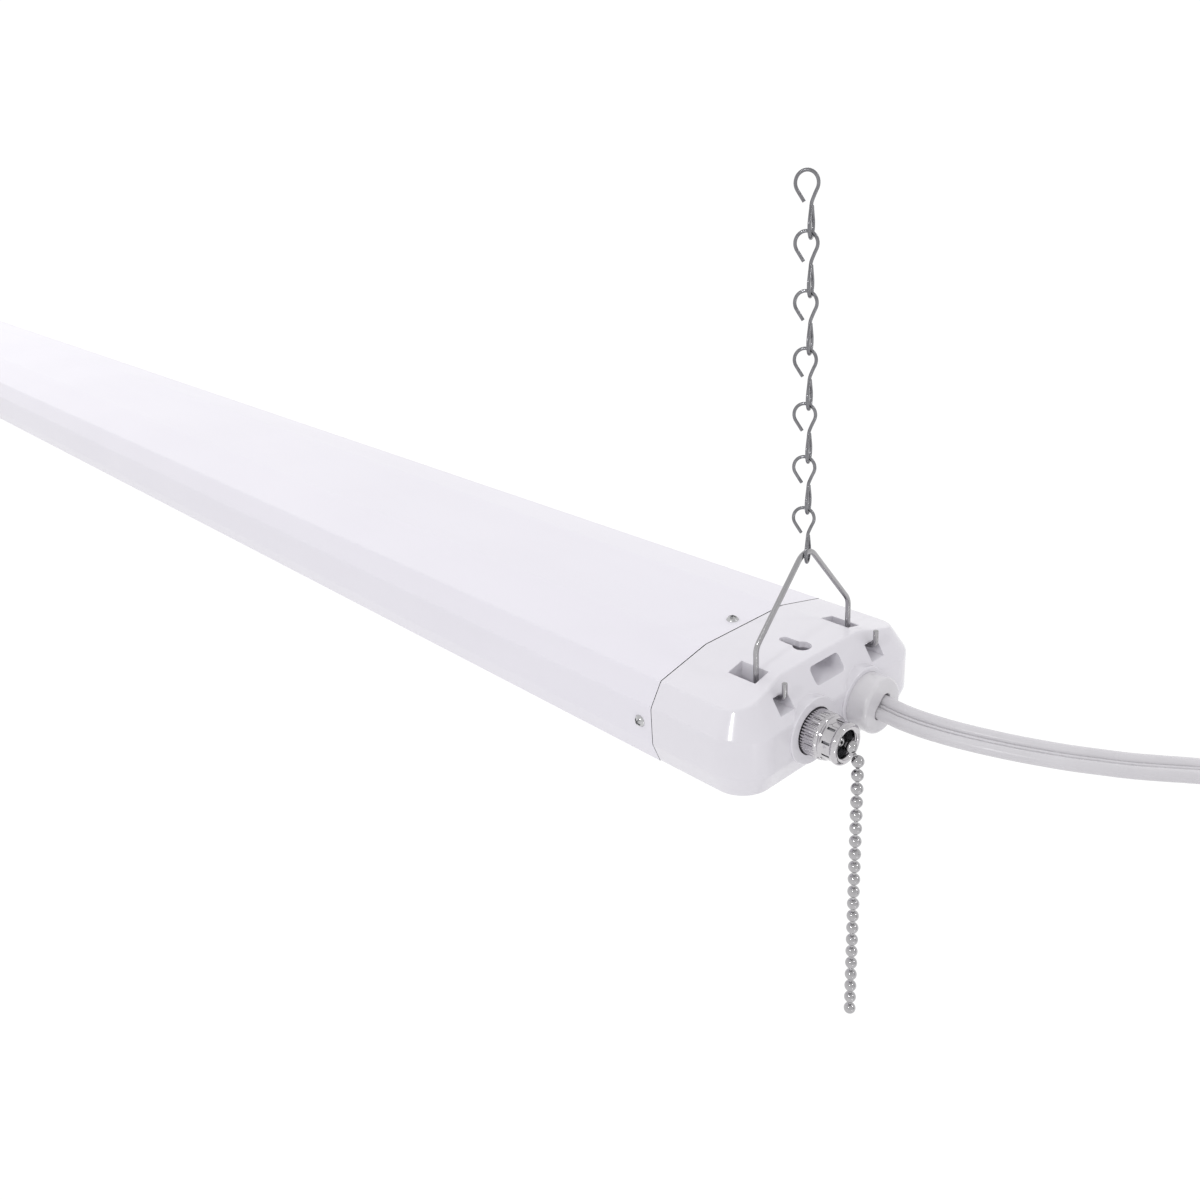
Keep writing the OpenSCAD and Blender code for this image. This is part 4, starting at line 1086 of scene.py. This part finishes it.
# each slot's finish: its function, then that function's settings in their order
leadSkin = (3, 0.4, 0.12, 0.4, 0.08, 0.03)
finishes = {
    "chain_steel": (wireFinish, (0.27, 0.27, 0.285), (0.17, 0.17, 0.18), 0.26, 0.16, 0.5, 2.5,
                    (1, 1, 0.25), 0.05, 0.01),
    "hanger_steel": (wireFinish, (0.41, 0.405, 0.415), (0.36, 0.355, 0.365), 0.22, 0.06, 0.8, 6,
                     (1, 1, 0.06), 0.01, 0.005),
    "white_sheet": (paintFinish, (0.80, 0.785, 0.835), (0.775, 0.76, 0.81), 90, 0.3, 0.1, 0.9,
                    0.05, 0.05, 0.0, (0.2, 1, 1)),
    "cap_plastic": (paintFinish, (0.765, 0.752, 0.79), (0.74, 0.727, 0.765), 30, 0.2, 0.08, 0.6,
                    0.04, 0.04, 0.3),
    "gland_plastic": (paintFinish, (0.68, 0.67, 0.69), (0.65, 0.64, 0.66), 8, 0.16, 0.08, 0.4,
                      0.05, 0.03, 0.5, (1, 0.2, 0.2)),
    # the lens's last setting, 0.12, is the strength of its painted glow
    "lens_plastic": (ribbedFinish, (0.86, 0.85, 0.88), (0.82, 0.81, 0.85), 1.6, 0.45, 0.12),
    "screw_steel": (wireFinish, (0.62, 0.62, 0.63), (0.45, 0.45, 0.46), 0.22, 0.14, 0.4, 1.2,
                    (1, 1, 1), 0.12, 0.02),
    "board_white": (paintFinish, (0.84, 0.84, 0.81), (0.78, 0.78, 0.75), 12, 0.4, 0.1, 0.5,
                    0.06, 0.03),
    "led_yellow": (paintFinish, (0.86, 0.66, 0.16), (0.8, 0.56, 0.1), 1.2, 0.3, 0.1, 0.3, 0.08, 0.03),
    "driver_metal": (wireFinish, (0.6, 0.61, 0.62), (0.48, 0.49, 0.5), 0.38, 0.16, 1.5, 14,
                     (0.1, 1, 1), 0.12, 0.04),
    "circuit_green": (paintFinish, (0.02, 0.17, 0.07), (0.03, 0.24, 0.1), 3, 0.32, 0.12, 0.5,
                      0.12, 0.05),
    "switch_plastic": (paintFinish, (0.03, 0.03, 0.032), (0.045, 0.045, 0.047), 4, 0.42, 0.12, 0.4,
                       0.1, 0.04),
    "switch_chrome": (wireFinish, (0.6, 0.585, 0.605), (0.52, 0.507, 0.524), 0.08, 0.08, 0.6, 3,
                      (1, 1, 1), 0.03, 0.01),
    "bead_nickel": (wireFinish, (0.48, 0.474, 0.485), (0.4, 0.395, 0.404), 0.12, 0.1, 0.5, 1.6,
                    (1, 1, 1), 0.04, 0.01),
    "cord_vinyl": (paintFinish, (0.66, 0.65, 0.67), (0.62, 0.61, 0.63), 14, 0.26, 0.1, 0.7,
                   0.06, 0.05),
    "tie_black": (weaveFinish, (0.012, 0.012, 0.013), (0.03, 0.03, 0.032), 0.8),
    "plug_vinyl": (paintFinish, (0.7, 0.69, 0.72), (0.66, 0.65, 0.68), 7, 0.36, 0.1, 0.35, 0.1, 0.05),
    "plug_brass": (wireFinish, (0.66, 0.55, 0.3), (0.52, 0.42, 0.22), 0.24, 0.14, 0.5, 2.5,
                   (1, 1, 0.15), 0.1, 0.02),
    "lead_black": (paintFinish, (0.02, 0.02, 0.02), (0.035, 0.035, 0.035), *leadSkin),
    "lead_white": (paintFinish, (0.75, 0.75, 0.74), (0.7, 0.7, 0.69), *leadSkin),
    "lead_green": (paintFinish, (0.02, 0.22, 0.06), (0.03, 0.28, 0.09), *leadSkin),
    "lead_red": (paintFinish, (0.48, 0.02, 0.02), (0.4, 0.015, 0.015), *leadSkin),
    "lead_blue": (paintFinish, (0.02, 0.06, 0.38), (0.02, 0.05, 0.3), *leadSkin),
    "connector_orange": (paintFinish, (0.78, 0.24, 0.03), (0.7, 0.2, 0.02), 4, 0.25, 0.1, 0.5,
                         0.06, 0.03),
}
made = {slotName: maker(slotName + "_finish", *row) for slotName, (maker, *row) in finishes.items()}


def dress(obj, slotName):
    if not obj.material_slots:
        obj.data.materials.append(made[slotName])
    for materialSlot in obj.material_slots:
        materialSlot.material = made[slotName]


slotOf = {part["node"]: part["material_slot"] for part in frame["record"]["subparts"]}
for nodeName, slotName in slotOf.items():
    dress(bpy.data.objects[nodeName], slotName)
for piece in list(bpy.context.scene.objects):
    if "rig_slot" in piece and piece.type == "MESH" and piece.name not in slotOf:
        dress(piece, piece["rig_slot"])
print("finishes made")


# floor, lamps and surroundings
studio = {
    "floorZ": -1.05, "floorSize": 60, "floorColour": (0.96, 0.96, 0.965), "floorGlow": 1.06,
    "glowShare": 0.9,
    "worldLight": 0.945, "worldTint": (0.99, 0.98, 1.0),
    # the surroundings are a little darker overhead and off the switch end
    "dimSide": (0.3, 0, 1), "dimLight": 0.8, "dimEdge": (-0.2, 1.0),
    "lamps": [
        # name, direction from the switch end (azimuth, elevation), distance in m, size in m,
        # watts, and whether it shows in shiny surfaces
        ("key", (-79, 31), 1.5, 0.14, 2.9, True),
        ("right", (25, 34), 1.6, 0.14, 1.4, True),
        ("low", (-16, -26), 1.5, 0.12, 0.3, True),
        ("back", (102, 30), 1.7, 0.6, 1.9, False),
        ("farEnd", (178, 38), 1.75, 1.0, 7.0, False),
    ],
    "lampAim": (0.55, 0, -0.18),
}


def makeFloor(s):
    deselectAll()
    bpy.ops.mesh.primitive_plane_add(size=s["floorSize"], location=(0, 0, s["floorZ"]))
    floor = bpy.context.object
    floor.name = "floor"
    f = Finish("floor_finish")
    f.set("Base Color", tint(*s["floorColour"]))
    f.set("Roughness", 0.9)
    f.set("Specular IOR Level", 0.0)
    glow = f.add("ShaderNodeEmission", None, {"Color": (1, 1, 1, 1), "Strength": s["floorGlow"]})
    f.end("Material Output", f.add("ShaderNodeMixShader", None, {
        0: f.lookingRay() * s["glowShare"], 1: Wire(f.tree, f.shader.outputs[0]), 2: glow}))
    floor.data.materials.append(f.material)


def makeWorld(s):
    world = bpy.data.worlds.new("studio")
    bpy.context.scene.world = world
    world.use_nodes = True
    n = Nodes(world.node_tree)
    way = n.add("ShaderNodeTexCoord", out="Generated")
    towards = n.add("ShaderNodeVectorMath", {"operation": "DOT_PRODUCT"},
                    {0: way, 1: Vector(s["dimSide"]).normalized()}, out="Value")
    low, high = s["dimEdge"]
    share = ((towards - low) / (high - low)).reckon("MAXIMUM", 0.0)
    dimmed = 1 - share.reckon("MINIMUM", 1.0) * (1 - s["dimLight"])
    lit = n.tree.nodes["Background"]
    feed(n.tree, lit.inputs["Color"], tint(*s["worldTint"]))
    feed(n.tree, lit.inputs["Strength"], dimmed * s["worldLight"])
    mirrored, shown = [n.add("ShaderNodeBackground", None, {"Color": (1, 1, 1, 1), "Strength": light})
                       for light in (dimmed, s["floorGlow"])]
    inMirror = n.add("ShaderNodeMixShader", None,
                     {0: n.lookingRay(), 1: Wire(n.tree, lit.outputs[0]), 2: mirrored})
    seen = n.add("ShaderNodeLightPath", out="Is Camera Ray")
    n.end("World Output", n.add("ShaderNodeMixShader", None, {0: seen, 1: inMirror, 2: shown}))


def makeLamps(s):
    aim = Vector(s["lampAim"])
    for name, (azimuth, elevation), distance, size, watts, shiny in s["lamps"]:
        data = bpy.data.lights.new(name, "AREA")
        data.shape, data.size, data.energy = "DISK", size, watts
        lamp = newObject(name, data)
        turn, lift = math.radians(azimuth), math.radians(elevation)
        level = math.cos(lift)
        away = Vector((math.cos(turn) * level, math.sin(turn) * level, math.sin(lift)))
        lamp.location = aim + away * distance
        lamp.rotation_euler = away.to_track_quat("Z", "Y").to_euler()
        lamp.visible_glossy = shiny


makeFloor(studio)
makeWorld(studio)
makeLamps(studio)
bpy.context.scene.view_settings.view_transform = "Standard"
print("studio lit")
